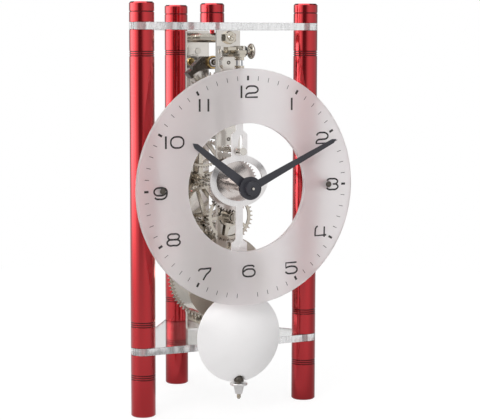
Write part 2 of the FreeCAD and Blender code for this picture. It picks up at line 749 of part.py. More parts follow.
def click_spring():
    """Bent leaf on the rear plate that bears on the click's arm."""
    foot_x, foot_z = CLICK_SPRING_FOOT
    tip_x, tip_z = CLICK_SPRING_TIP
    bend_x, bend_z = CLICK_SPRING_BEND
    leaf = slab(
        [
            (foot_x[0], foot_z[0] + CLICK_SPRING_LEAF),
            (bend_x + CLICK_SPRING_LEAF, bend_z),
            (tip_x + CLICK_SPRING_LEAF, tip_z),
            (tip_x, tip_z),
            (bend_x, bend_z),
            (foot_x[0], foot_z[0] + 2 * CLICK_SPRING_LEAF),
        ],
        RATCHET_FACE,
    )
    return fused(block(foot_x, (REAR_OUTER, RATCHET_FACE[1]), foot_z), leaf)


# Going train


def second_wheel():
    """Second wheel, driven by the barrel."""
    return spoked_wheel(SECOND_MESH, SECOND_SPOKE_ANGLE, ARBOR_RADIUS, SECOND_FACE)


def second_arbor():
    """Second arbor with the pinion that meets the great wheel."""
    return train_arbor(GREAT_MESH, GREAT_FACE)


def centre_wheel():
    """Centre wheel, one turn in an hour."""
    return spoked_wheel(CENTRE_MESH, TOP, ARBOR_RADIUS, CENTRE_FACE)


def centre_arbor():
    """Centre arbor: runs through the front plate to the tip in the middle of the hands."""
    z = CENTRE_Z
    leaves_range = (SECOND_FACE[0] - 2 * PINION_OVERHANG, SECOND_FACE[1] + PINION_OVERHANG)
    leaves = pinion(
        SECOND_MESH.upper_teeth, SECOND_MESH.module, SECOND_MESH.upper_tooth_angle(), leaves_range, z
    )
    return fused(
        rod_y(ARBOR_RADIUS, (ARBOR_FRONT_STEP, REAR_INNER - SIDE_SHAKE), 0, z),
        leaves,
        rod_y(PIVOT_RADIUS, (REAR_INNER - SIDE_SHAKE, REAR_OUTER), 0, z),
        rod_y(ARBOR_TIP_RADIUS, (-HALF_DEPTH, ARBOR_FRONT_STEP), 0, z),
    )


def third_wheel():
    """Third wheel with the finest teeth of the train."""
    return spoked_wheel(THIRD_MESH, TOP, leaf_root(CENTRE_MESH), THIRD_FACE)


def third_arbor():
    """Third arbor with its eight-leaf pinion."""
    return train_arbor(CENTRE_MESH, CENTRE_FACE)


def escape_wheel():
    """Escape wheel with pointed teeth that lean the way it turns."""
    step = 360.0 / ESCAPE_TEETH
    points = []
    for index in range(ESCAPE_TEETH):
        angle = TOP + index * step
        points.append(polar(ESCAPE_ROOT_RADIUS, angle - step * ESCAPE_LEAN, ESCAPE_Z))
        points.append(polar(ESCAPE_RADIUS, angle, ESCAPE_Z))
        points.append(polar(ESCAPE_ROOT_RADIUS, angle + step * (0.5 - ESCAPE_LEAN), ESCAPE_Z))
    wheel = crossed(slab(points, ESCAPE_FACE), ESCAPE_RIM_RADIUS, HUB_RADIUS, TOP, ESCAPE_FACE, ESCAPE_Z)
    return wheel.cut(rod_y(leaf_root(THIRD_MESH), ESCAPE_FACE, 0, ESCAPE_Z))


def escape_arbor():
    """Escape arbor with its seven-leaf pinion."""
    return train_arbor(THIRD_MESH, THIRD_FACE)


# Anchor and crutch


def anchor():
    """Anchor: an arc over the escape wheel with a pallet at each end and a web up to its hub."""
    half_span = ANCHOR_SPAN_TEETH * 180.0 / ESCAPE_TEETH
    start, end = TOP - half_span, TOP + half_span

    def at(radius, angle):
        return front_point(polar(radius, angle, ESCAPE_Z), ANCHOR_FACE[0])

    outer = [at(ANCHOR_OUTER_RADIUS, angle) for angle in (start, TOP, end)]
    left_heel, right_heel = end - PALLET_WIDTH_ANGLE, start + PALLET_WIDTH_ANGLE
    inner = [at(ANCHOR_INNER_RADIUS, angle) for angle in (left_heel, TOP, right_heel)]
    left_pallet = [outer[2], at(PALLET_RADIUS, end), at(PALLET_RADIUS, left_heel), inner[0]]
    right_pallet = [inner[2], at(PALLET_RADIUS, right_heel), at(PALLET_RADIUS, start), outer[0]]
    edges = [Part.Arc(*outer).toShape(), Part.Arc(*inner).toShape()]
    for chain in (left_pallet, right_pallet):
        edges += [Part.LineSegment(here, there).toShape() for here, there in zip(chain, chain[1:])]
    outline = Part.Wire(Part.__sortEdges__(edges))
    arc = Part.Face(outline).extrude(AXIS_Y * (ANCHOR_FACE[1] - ANCHOR_FACE[0]))
    right_web = [ANCHOR_WEB_TOP, ANCHOR_WEB_SHOULDER, ANCHOR_WEB_FOOT]
    left_web = [(-x, z) for x, z in reversed(right_web)]
    web = slab(right_web + left_web, ANCHOR_FACE)
    hub = rod_y(ANCHOR_HUB_RADIUS, ANCHOR_FACE, 0, ANCHOR_Z)
    return fused(arc, web, hub).cut(rod_y(ARBOR_RADIUS, ANCHOR_FACE, 0, ANCHOR_Z))


def anchor_collet():
    """Brass collet with a stepped face that clamps the anchor on its arbor."""
    body = rod_y(COLLET_RADIUS, COLLET_FACE, 0, ANCHOR_Z)
    step = rod_y(COLLET_STEP_RADIUS, (COLLET_FACE[0] - COLLET_STEP, COLLET_FACE[0]), 0, ANCHOR_Z)
    bore = rod_y(ARBOR_RADIUS, (COLLET_FACE[0] - COLLET_STEP, COLLET_FACE[1]), 0, ANCHOR_Z)
    return fused(body, step).cut(bore)


def anchor_arbor():
    """Arbor of the anchor and the crutch."""
    rear = REAR_INNER - ANCHOR_BUSH_RISE - SIDE_SHAKE
    return fused(
        rod_y(ARBOR_RADIUS, (FRONT_INNER + SIDE_SHAKE, rear), 0, ANCHOR_Z),
        rod_y(PIVOT_RADIUS, (FRONT_OUTER, REAR_OUTER), 0, ANCHOR_Z),
    )


def crutch():
    """Crutch: bowed past the train's arbors, with a pin through the front plate's window."""
    half = CRUTCH_WIDTH / 2
    bow_top = ANCHOR_Z - CRUTCH_HUB_RADIUS
    bow_bottom = CRUTCH_PIN_Z + half
    arm = slab(
        [
            (0.0, ANCHOR_Z + half),
            (0.0, ANCHOR_Z - half),
            (CRUTCH_BOW_X + half, bow_top - CRUTCH_WIDTH),
            (CRUTCH_BOW_X + half, bow_bottom),
            (0.0, bow_bottom),
            (0.0, bow_bottom - CRUTCH_WIDTH),
            (CRUTCH_BOW_X, bow_bottom - CRUTCH_WIDTH),
            (CRUTCH_BOW_X - half, bow_bottom),
            (CRUTCH_BOW_X - half, bow_top),
        ],
        CRUTCH_FACE,
    )
    hub = rod_y(CRUTCH_HUB_RADIUS, CRUTCH_FACE, 0, ANCHOR_Z)
    eye = rod_y(CRUTCH_HEAD_RADIUS, CRUTCH_FACE, 0, CRUTCH_PIN_Z)
    pin = rod_y(CRUTCH_PIN_RADIUS, (CRUTCH_PIN_FRONT, CRUTCH_FACE[1]), 0, CRUTCH_PIN_Z)
    head = rod_y(CRUTCH_HEAD_RADIUS, (CRUTCH_PIN_FRONT, CRUTCH_PIN_FRONT + CRUTCH_HEAD), 0, CRUTCH_PIN_Z)
    return fused(arm, hub, eye, pin, head).cut(rod_y(ARBOR_RADIUS, CRUTCH_FACE, 0, ANCHOR_Z))


# Beat adjuster and suspension


def suspension_bracket():
    """U-shaped bracket on the front plate that holds the beat screw; its left cheek hangs down."""
    y_range = (BRACKET_FRONT, FRONT_OUTER)
    inner = BRACKET_HALF_WIDTH - BRACKET_SHEET
    floor = block((-inner, inner), y_range, BRACKET_FLOOR_Z)
    right = block((inner, BRACKET_HALF_WIDTH), y_range, (BRACKET_FLOOR_Z[0], BRACKET_TOP))
    back = FRONT_OUTER
    outline = [
        (back, BRACKET_LEG_BOTTOM),
        (back, BRACKET_TOP),
        (BRACKET_FRONT, BRACKET_TOP),
        (BRACKET_FRONT, BRACKET_FLOOR_Z[0]),
        (back - LEG_WAIST_DEPTH, LEG_WAIST_Z[1]),
        (back - LEG_WAIST_DEPTH, LEG_WAIST_Z[0]),
        (BRACKET_FRONT, LEG_WAIST_Z[0] - 1.6),
        (BRACKET_FRONT, BRACKET_LEG_BOTTOM),
    ]
    corners = [FreeCAD.Vector(-BRACKET_HALF_WIDTH, y, z) for y, z in outline]
    left = Part.Face(Part.makePolygon(corners + corners[:1])).extrude(AXIS_X * BRACKET_SHEET)
    screw_hole = rod_x(
        BEAT_SHAFT_RADIUS + RUNNING_GAP, (-BRACKET_HALF_WIDTH, BRACKET_HALF_WIDTH), BEAT_AXIS_Y, BEAT_AXIS_Z
    )
    collar_room = rod_x(BEAT_COLLAR_RADIUS + 0.3, (BEAT_COLLAR_X[0] - 0.3, inner), BEAT_AXIS_Y, BEAT_AXIS_Z)
    return fused(floor, right, left).cut(screw_hole).cut(collar_room)


def beat_spindle():
    """Beat screw's shaft with the collar that keeps it in the bracket."""
    return fused(
        rod_x(BEAT_SHAFT_RADIUS, (-BRACKET_HALF_WIDTH, BEAT_KNOB_X[0]), BEAT_AXIS_Y, BEAT_AXIS_Z),
        rod_x(BEAT_COLLAR_RADIUS, BEAT_COLLAR_X, BEAT_AXIS_Y, BEAT_AXIS_Z),
    )


def beat_knob():
    """Round finger knob with a hub, crowned at its rim."""
    hub_x = (BRACKET_HALF_WIDTH + SIDE_SHAKE, BEAT_KNOB_X[0])
    hub = rod_x(BEAT_HUB_RADIUS, hub_x, BEAT_AXIS_Y, BEAT_AXIS_Z)
    wheel = rod_x(BEAT_KNOB_RADIUS, BEAT_KNOB_X, BEAT_AXIS_Y, BEAT_AXIS_Z)
    rims = [edge for edge in wheel.Edges if isinstance(edge.Curve, Part.Circle)]
    wheel = wheel.makeChamfer(BEAT_KNOB_CROWN, rims)
    return fused(hub, wheel).cut(rod_x(BEAT_SHAFT_RADIUS, hub_x, BEAT_AXIS_Y, BEAT_AXIS_Z))


def suspension_carriage():
    """Nut on the beat screw whose tongue carries the suspension springs."""
    nut = block(CARRIAGE_X, CARRIAGE_Y, CARRIAGE_Z)
    tongue = block(
        (-TONGUE_HALF_WIDTH, TONGUE_HALF_WIDTH), (TONGUE_FRONT, CARRIAGE_Y[0]), (CARRIAGE_Z[0], TONGUE_TOP)
    )
    clamp_y = (SUSPENSION_Y - SUSPENSION_HALF_DEPTH, SUSPENSION_Y + SUSPENSION_HALF_DEPTH)
    clamp = block((-CLAMP_HALF_WIDTH, CLAMP_HALF_WIDTH), clamp_y, (UPPER_BLOCK_Z[1], CARRIAGE_Z[0]))
    bore = rod_x(BEAT_SHAFT_RADIUS + RUNNING_GAP, CARRIAGE_X, BEAT_AXIS_Y, BEAT_AXIS_Z)
    return fused(nut, tongue, clamp, suspension_block(UPPER_BLOCK_Z)).cut(bore)


def suspension_block(z_range):
    """Small block that clamps the ends of both suspension springs."""
    half = SUSPENSION_HALF_WIDTH
    y_range = (SUSPENSION_Y - SUSPENSION_HALF_DEPTH, SUSPENSION_Y + SUSPENSION_HALF_DEPTH)
    return block((-half, half), y_range, z_range)


def suspension_springs():
    """Two parallel leaf springs, one behind the other; the pendulum bends them sideways."""
    half = SPRING_STRIP_THICKNESS / 2
    strips = []
    for side in (-1, 1):
        middle = SUSPENSION_Y + side * SPRING_OFFSET
        y_range = (middle - SPRING_STRIP_WIDTH / 2, middle + SPRING_STRIP_WIDTH / 2)
        strips.append(block((-half, half), y_range, (LOWER_BLOCK_Z[1], UPPER_BLOCK_Z[0])))
    return Part.makeCompound(strips)


# Pendulum


def pendulum_rod():
    """Pressed rod: strip, keyhole plate, oval loop round the hand pipes, and the lower strip."""
    y_range = (SUSPENSION_Y - ROD_THICKNESS / 2, SUSPENSION_Y + ROD_THICKNESS / 2)
    strip = STRIP_HALF_WIDTH
    wide = KEYHOLE_HALF_WIDTH
    upper = slab(
        [
            (-strip, LOWER_BLOCK_Z[0]),
            (-strip, KEYHOLE_TOP),
            (-wide, KEYHOLE_TOP - SHOULDER),
            (-wide, LOOP_Z + LOOP_OUTER[1] - SHOULDER),
            (wide, LOOP_Z + LOOP_OUTER[1] - SHOULDER),
            (wide, KEYHOLE_TOP - SHOULDER),
            (strip, KEYHOLE_TOP),
            (strip, LOWER_BLOCK_Z[0]),
        ],
        y_range,
    )
    lower = slab(
        [
            (-strip, LOOP_Z - LOOP_OUTER[1] + GROOVE_PITCH),
            (strip, LOOP_Z - LOOP_OUTER[1] + GROOVE_PITCH),
            (strip, LOWER_STRIP_TOP),
            (wide, LOWER_STRIP_TOP - SHOULDER),
            (wide, ROD_BOTTOM),
            (-wide, ROD_BOTTOM),
            (-wide, LOWER_STRIP_TOP - SHOULDER),
            (-strip, LOWER_STRIP_TOP),
        ],
        y_range,
    )
    loop = oval(LOOP_OUTER, y_range)
    opening = oval(LOOP_INNER, y_range)
    keyhole = fused(
        rod_y(KEYHOLE_EYE_RADIUS, y_range, 0, CRUTCH_PIN_Z),
        slab(
            [
                (-SLOT_HALF_WIDTH, CRUTCH_PIN_Z),
                (SLOT_HALF_WIDTH, CRUTCH_PIN_Z),
                (SLOT_SHIFT + SLOT_HALF_WIDTH, SLOT_TOP - 2 * SLOT_HALF_WIDTH),
                (SLOT_SHIFT + SLOT_HALF_WIDTH / 2, SLOT_TOP),
                (SLOT_SHIFT - SLOT_HALF_WIDTH / 2, SLOT_TOP),
                (SLOT_SHIFT - SLOT_HALF_WIDTH, SLOT_TOP - 2 * SLOT_HALF_WIDTH),
            ],
            y_range,
        ),
    )
    bore = rod_z(RATING_ROD_RADIUS, (ROD_BOTTOM, RATING_ROD_TOP), 0, SUSPENSION_Y)
    return fused(upper, loop, lower).cut(opening).cut(keyhole).cut(bore)


def oval(radii, y_range):
    """Elliptical plate round the middle of the pendulum's loop."""
    centre = FreeCAD.Vector(0, y_range[0], LOOP_Z)
    major = centre + AXIS_X * radii[0]
    minor = centre + AXIS_Z * radii[1]
    edge = Part.Ellipse(major, minor, centre).toShape()
    return Part.Face(Part.Wire([edge])).extrude(AXIS_Y * (y_range[1] - y_range[0]))


def rating_rod():
    """Threaded rod in the strip's foot that carries the rating nut."""
    point = RATING_ROD_RADIUS * 0.6
    profile = [
        (0.0, RATING_ROD_BOTTOM),
        (point, RATING_ROD_BOTTOM),
        (RATING_ROD_RADIUS, RATING_ROD_BOTTOM + point),
        (RATING_ROD_RADIUS, RATING_ROD_TOP),
        (0.0, RATING_ROD_TOP),
    ]
    return turned_z(profile, 0, SUSPENSION_Y)


def bob_hook():
    """Rounded tab before the rod, above the bob, with its stem back to the rod."""
    centre = (HOOK_Z[0] + HOOK_Z[1]) / 2
    rise = (HOOK_Z[1] - HOOK_Z[0]) / 2
    tab = rod_y(rise, HOOK_Y, 0, centre)
    stem_y = (HOOK_Y[1], SUSPENSION_Y - ROD_THICKNESS / 2)
    stem_z = (centre - HOOK_STEM_HALF, centre + HOOK_STEM_HALF)
    return fused(tab, block((-HOOK_STEM_HALF, HOOK_STEM_HALF), stem_y, stem_z))


def dome(rise, facing):
    """Half of the hollow bob: a spherical cap facing -Y (facing = -1) or +Y (facing = 1)."""
    edges = []
    apexes = []
    rims = []
    for radius, height in ((BOB_RADIUS, rise), (BOB_RADIUS - BOB_WALL, rise - BOB_WALL)):
        sphere = (radius**2 + height**2) / (2 * height)
        half_angle = math.asin(radius / sphere) / 2
        middle_rise = height - sphere * (1 - math.cos(half_angle))
        apex = FreeCAD.Vector(0, SUSPENSION_Y + facing * height, BOB_Z)
        middle = FreeCAD.Vector(sphere * math.sin(half_angle), SUSPENSION_Y + facing * middle_rise, BOB_Z)
        rim = FreeCAD.Vector(radius, SUSPENSION_Y, BOB_Z)
        edges.append(Part.Arc(apex, middle, rim).toShape())
        apexes.append(apex)
        rims.append(rim)
    edges.append(Part.LineSegment(*rims).toShape())
    edges.append(Part.LineSegment(*apexes).toShape())
    face = Part.Face(Part.Wire(Part.__sortEdges__(edges)))
    return face.revolve(FreeCAD.Vector(0, 0, BOB_Z), AXIS_Y, 360)


def bob_passages():
    """Slot for the rod at the bob's top and the arch for the rating nut at its bottom."""
    half_width = KEYHOLE_HALF_WIDTH + BOB_SLOT_GAP
    half_depth = ROD_THICKNESS / 2 + BOB_SLOT_GAP
    y_range = (SUSPENSION_Y - half_depth, SUSPENSION_Y + half_depth)
    slot = block((-half_width, half_width), y_range, (BOB_Z, BOB_Z + BOB_RADIUS + BOB_WALL))
    arch_y = (SUSPENSION_Y - BOB_FRONT_RISE, SUSPENSION_Y + BOB_BACK_RISE)
    arch = rod_y(BOB_ARCH_RADIUS, arch_y, 0, BOB_Z - BOB_RADIUS + BOB_ARCH_RISE)
    rod_z_range = (BOB_Z - BOB_RADIUS, BOB_Z)
    return fused(slot, arch, rod_z(RATING_ROD_RADIUS + BOB_SLOT_GAP, rod_z_range, 0, SUSPENSION_Y))


def bob_front():
    """Front shell of the bob."""
    return dome(BOB_FRONT_RISE, -1).cut(bob_passages())


def bob_back():
    """Rear shell of the bob."""
    return dome(BOB_BACK_RISE, 1).cut(bob_passages())


def rating_nut():
    """Rating nut: a flange for the fingers and a tapered neck."""
    flange_low, flange_high = RATING_FLANGE_EDGE
    bore = RATING_ROD_RADIUS + RUNNING_GAP
    profile = [
        (bore, RATING_TOP),
        (RATING_FLANGE_RADIUS - (RATING_TOP - flange_high), RATING_TOP),
        (RATING_FLANGE_RADIUS, flange_high),
        (RATING_FLANGE_RADIUS, flange_low),
        RATING_NECK_TOP,
        RATING_NECK_BOTTOM,
        (bore, RATING_NECK_BOTTOM[1]),
    ]
    return turned_z(profile, 0, SUSPENSION_Y)


# Dial


def dial_ring():
    """Frosted ring dial with two screw holes."""
    y_range = (DIAL_FRONT, DIAL_FRONT + DIAL_THICKNESS)
    ring = tube_y(DIAL_OUTER_RADIUS, DIAL_INNER_RADIUS, y_range, 0, CENTRE_Z)
    for side in ("left", "right"):
        ring = ring.cut(rod_y(DIAL_SCREW_RADIUS, y_range, POSTS[side][0], CENTRE_Z))
    return ring


def dial_standoff(side):
    """Distance piece between a front post and the dial, seated on the post's round side."""
    x, post_y = POSTS[side]
    y_range = (DIAL_FRONT + DIAL_THICKNESS, post_y)
    bar = rod_y(STANDOFF_RADIUS, y_range, x, CENTRE_Z)
    seat = (CENTRE_Z - 2 * STANDOFF_RADIUS, CENTRE_Z + 2 * STANDOFF_RADIUS)
    screw_y = (DIAL_FRONT, DIAL_FRONT + DIAL_SCREW_LENGTH)
    return bar.cut(rod_z(POST_RADIUS, seat, x, post_y)).cut(rod_y(DIAL_SCREW_RADIUS, screw_y, x, CENTRE_Z))


def dial_screws():
    """Two round-headed screws through the dial."""
    screws = []
    for side in ("left", "right"):
        x = POSTS[side][0]
        head = rod_y(DIAL_SCREW_HEAD_RADIUS, (DIAL_FRONT - DIAL_SCREW_HEAD, DIAL_FRONT), x, CENTRE_Z)
        shank = rod_y(DIAL_SCREW_RADIUS, (DIAL_FRONT, DIAL_FRONT + DIAL_SCREW_LENGTH), x, CENTRE_Z)
        screws.append(fused(head, shank))
    return Part.makeCompound(screws)


# Motion work and hands


def cannon_pinion():
    """Cannon pinion and its long tube to the minute hand."""
    leaves = pinion(
        CANNON_MESH.upper_teeth, CANNON_MESH.module, CANNON_MESH.upper_tooth_angle(), CANNON_FACE, CENTRE_Z
    )
    tube = rod_y(CANNON_RADIUS, (CANNON_FRONT, CANNON_FACE[1]), 0, CENTRE_Z)
    return fused(leaves, tube).cut(rod_y(CANNON_BORE, (CANNON_FRONT, CANNON_FACE[1]), 0, CENTRE_Z))


def minute_wheel():
    """Minute wheel with a raised hub, and before it the pinion that turns the hour wheel."""
    bore = ARBOR_RADIUS + RUNNING_GAP
    wheel = spoked_wheel(CANNON_MESH, MINUTE_SPOKE_ANGLE, bore, MINUTE_FACE)
    hub = tube_y(MINUTE_HUB_RADIUS, bore, (MINUTE_HUB_FRONT, MINUTE_FACE[1]), 0, MOTION_Z)
    leaves_range = (MINUTE_PINION_FRONT, MINUTE_HUB_FRONT)
    leaves = pinion(
        HOUR_MESH.lower_teeth, HOUR_MESH.module, HOUR_MESH.lower_tooth_angle(), leaves_range, MOTION_Z
    )
    return fused(wheel, hub, leaves.cut(rod_y(bore, leaves_range, 0, MOTION_Z)))


def motion_stud():
    """Fixed stud of the minute wheel, with a washer at its front end."""
    head_y = (MOTION_STUD_FRONT - MOTION_STUD_HEAD, MOTION_STUD_FRONT)
    return fused(
        rod_y(ARBOR_RADIUS, (MOTION_STUD_FRONT, FRONT_INNER), 0, MOTION_Z),
        rod_y(MOTION_STUD_HEAD_RADIUS, head_y, 0, MOTION_Z),
    )


def hour_wheel():
    """Hour wheel: a solid toothed disc with a boss and the pipe for the hour hand."""
    disc = wheel_blank(
        HOUR_MESH.upper_teeth, HOUR_MESH.module, HOUR_MESH.upper_tooth_angle(), HOUR_FACE, CENTRE_Z
    )
    boss = rod_y(HOUR_BOSS_RADIUS, (HOUR_BOSS_FRONT, HOUR_FACE[0]), 0, CENTRE_Z)
    pipe = rod_y(HOUR_PIPE_RADIUS, (HOUR_PIPE_FRONT, HOUR_BOSS_FRONT), 0, CENTRE_Z)
    bore = rod_y(CANNON_RADIUS + RUNNING_GAP, (HOUR_PIPE_FRONT, HOUR_FACE[1]), 0, CENTRE_Z)
    return fused(disc, boss, pipe).cut(bore)


def hand(size, angle, front, bore):
    """Tapered blade with a pointed end and a round hub."""
    hub_radius, length, half_at_hub, half_at_tip = size
    y_range = (front, front + HAND_THICKNESS)
    blade = slab(
        [
            (0.0, -half_at_hub),
            (length - HAND_POINT, -half_at_tip),
            (length, 0.0),
            (length - HAND_POINT, half_at_tip),
            (0.0, half_at_hub),
        ],
        y_range,
    )
    blade.rotate(FreeCAD.Vector(0, 0, 0), AXIS_Y, -angle)
    blade.translate(FreeCAD.Vector(0, 0, CENTRE_Z))
    hub = rod_y(hub_radius, y_range, 0, CENTRE_Z)
    return fused(hub, blade).cut(rod_y(bore, y_range, 0, CENTRE_Z))


def hand_nut():
    """Round nut that holds the minute hand on its tube; the arbor's tip shows in its middle."""
    y_range = (HAND_NUT_FRONT, MINUTE_HAND_FRONT)
    body = rod_y(HAND_NUT_RADIUS, y_range, 0, CENTRE_Z)
    seat = rod_y(CANNON_RADIUS, (CANNON_FRONT, MINUTE_HAND_FRONT), 0, CENTRE_Z)
    return body.cut(seat).cut(rod_y(ARBOR_TIP_RADIUS + RUNNING_GAP, y_range, 0, CENTRE_Z))


def build():
    """Every node's name with its shape."""
    centre = (0.0, MOVEMENT_MIDDLE_Y)
    parts = {}
    for name, place in POSTS.items():
        parts["foot_" + name] = foot(place)
        parts["post_" + name] = post(place)
        parts["cap_" + name] = cap(place, STUD_RADIUS)
    parts["cap_centre"] = cap(centre, CENTRE_STUD_RADIUS)
    parts["bottom_plate"] = triangular_plate(FOOT_TOP, CENTRE_STUD_RADIUS)
    parts["top_plate"] = triangular_plate(TOP_PLATE_BOTTOM, CENTRE_STUD_RADIUS)
    parts["frame_studs"] = frame_studs()
    parts["front_plate"] = front_plate()
    parts["back_plate"] = back_plate()
    parts["pillar_upper"] = pillar(UPPER_PILLAR_Z, tapped_up=True)
    parts["pillar_lower"] = pillar(LOWER_PILLAR_Z, tapped_up=False)
    parts["pillar_nuts"] = pillar_nuts()
    parts["anchor_bush"] = anchor_bush()
    parts["barrel"] = barrel()
    parts["mainspring"] = mainspring()
    parts["barrel_arbor"] = barrel_arbor()
    parts["ratchet_wheel"] = ratchet_wheel()
    parts["click"] = click()
    parts["plate_studs"] = Part.makeCompound([motion_stud(), click_screw(), plate_plug()])
    parts["click_spring"] = click_spring()
    parts["second_wheel"] = second_wheel()
    parts["second_arbor"] = second_arbor()
    parts["centre_wheel"] = centre_wheel()
    parts["centre_arbor"] = centre_arbor()
    parts["third_wheel"] = third_wheel()
    parts["third_arbor"] = third_arbor()
    parts["escape_wheel"] = escape_wheel()
    parts["escape_arbor"] = escape_arbor()
    parts["anchor"] = anchor()
    parts["anchor_collet"] = anchor_collet()
    parts["anchor_arbor"] = anchor_arbor()
    parts["crutch"] = crutch()
    parts["suspension_bracket"] = suspension_bracket()
    parts["beat_spindle"] = beat_spindle()
    parts["beat_knob"] = beat_knob()
    parts["suspension_carriage"] = suspension_carriage()
    parts["suspension_block_lower"] = suspension_block(LOWER_BLOCK_Z)
    parts["suspension_springs"] = suspension_springs()
    parts["pendulum_rod"] = pendulum_rod()
    parts["rating_rod"] = rating_rod()
    parts["bob_hook"] = bob_hook()
    parts["bob_front"] = bob_front()
    parts["bob_back"] = bob_back()
    parts["rating_nut"] = rating_nut()
    parts["dial_ring"] = dial_ring()
    parts["dial_standoff_left"] = dial_standoff("left")
    parts["dial_standoff_right"] = dial_standoff("right")
    parts["dial_screws"] = dial_screws()
    parts["cannon_pinion"] = cannon_pinion()
    parts["minute_wheel"] = minute_wheel()
    parts["hour_wheel"] = hour_wheel()
    parts["hour_hand"] = hand(HOUR_HAND_SIZE, HOUR_HAND_ANGLE, HOUR_HAND_FRONT, HOUR_PIPE_RADIUS)
    parts["minute_hand"] = hand(MINUTE_HAND_SIZE, MINUTE_HAND_ANGLE, MINUTE_HAND_FRONT, CANNON_RADIUS)
    parts["hand_nut"] = hand_nut()
    return parts


os.makedirs("parts", exist_ok=True)
for node, shape in build().items():
    shape.exportStep("parts/" + node + ".step")
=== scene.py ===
"""Dresses a packed desk pendulum clock: red posts, clear plates, a ring dial and an open movement."""

import json
import logging
import math
from dataclasses import dataclass, field
from enum import Enum
from typing import Any, Sequence

import bmesh
import bpy
from mathutils import Matrix, Vector

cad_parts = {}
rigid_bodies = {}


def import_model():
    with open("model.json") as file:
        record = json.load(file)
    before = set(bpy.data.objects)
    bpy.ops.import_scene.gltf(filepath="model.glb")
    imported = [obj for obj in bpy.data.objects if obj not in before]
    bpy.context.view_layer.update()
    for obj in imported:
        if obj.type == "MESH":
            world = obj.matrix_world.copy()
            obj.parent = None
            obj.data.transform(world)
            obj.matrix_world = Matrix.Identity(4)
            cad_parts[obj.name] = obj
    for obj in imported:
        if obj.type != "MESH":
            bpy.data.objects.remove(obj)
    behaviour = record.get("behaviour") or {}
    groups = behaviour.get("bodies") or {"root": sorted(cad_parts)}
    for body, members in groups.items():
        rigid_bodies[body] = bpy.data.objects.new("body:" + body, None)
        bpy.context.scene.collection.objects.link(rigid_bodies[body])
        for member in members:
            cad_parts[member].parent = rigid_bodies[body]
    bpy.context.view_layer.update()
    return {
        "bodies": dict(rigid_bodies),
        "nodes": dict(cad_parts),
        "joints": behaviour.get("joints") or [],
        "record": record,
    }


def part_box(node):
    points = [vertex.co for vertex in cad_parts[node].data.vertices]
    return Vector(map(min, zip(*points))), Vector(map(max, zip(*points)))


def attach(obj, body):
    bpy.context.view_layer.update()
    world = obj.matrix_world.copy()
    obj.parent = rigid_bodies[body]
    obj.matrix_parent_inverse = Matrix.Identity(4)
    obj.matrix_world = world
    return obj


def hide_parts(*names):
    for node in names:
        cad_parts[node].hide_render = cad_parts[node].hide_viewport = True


LOG = logging.getLogger("desk_clock")
MM = 0.001
FULL_TURN = 2 * math.pi
MINUTES = 60
FINE_STEPS, PILLAR_STEPS, SMALL_STEPS, RIVET_STEPS = 128, 64, 48, 24
MERGED, COPY_MERGED, SPUN_MERGED = 0.002 * MM, 0.001 * MM, 0.0005 * MM
SMOOTH_ANGLE = math.radians(32)
ROUNDED_ANGLE = math.radians(35)
FLAT_ANGLE = math.radians(0.6)
NOISE_LOW, NOISE_HIGH = 0.3, 0.7
GEAR_ROUND = 0.05
TIP_COSINE, FACE_COSINE = 0.8, 0.5
LOOKED_AT = Vector((0, 0, 0.12))
X, Y, Z = 0, 1, 2
X_AXIS = Vector((1, 0, 0))
Y_AXIS = Vector((0, 1, 0))
Z_AXIS = Vector((0, 0, 1))

Point = tuple[float, float]
Triple = tuple[float, float, float]
Colour = tuple[float, float, float]
Mesh = bmesh.types.BMesh
Socket = bpy.types.NodeSocket


# Finishes


class Grain(Enum):
    """How the fine lines of a metal's finish run."""

    UPRIGHT = "lines along Z"
    CONCENTRIC = "rings about an axis along Y"
    FREE = "no direction"


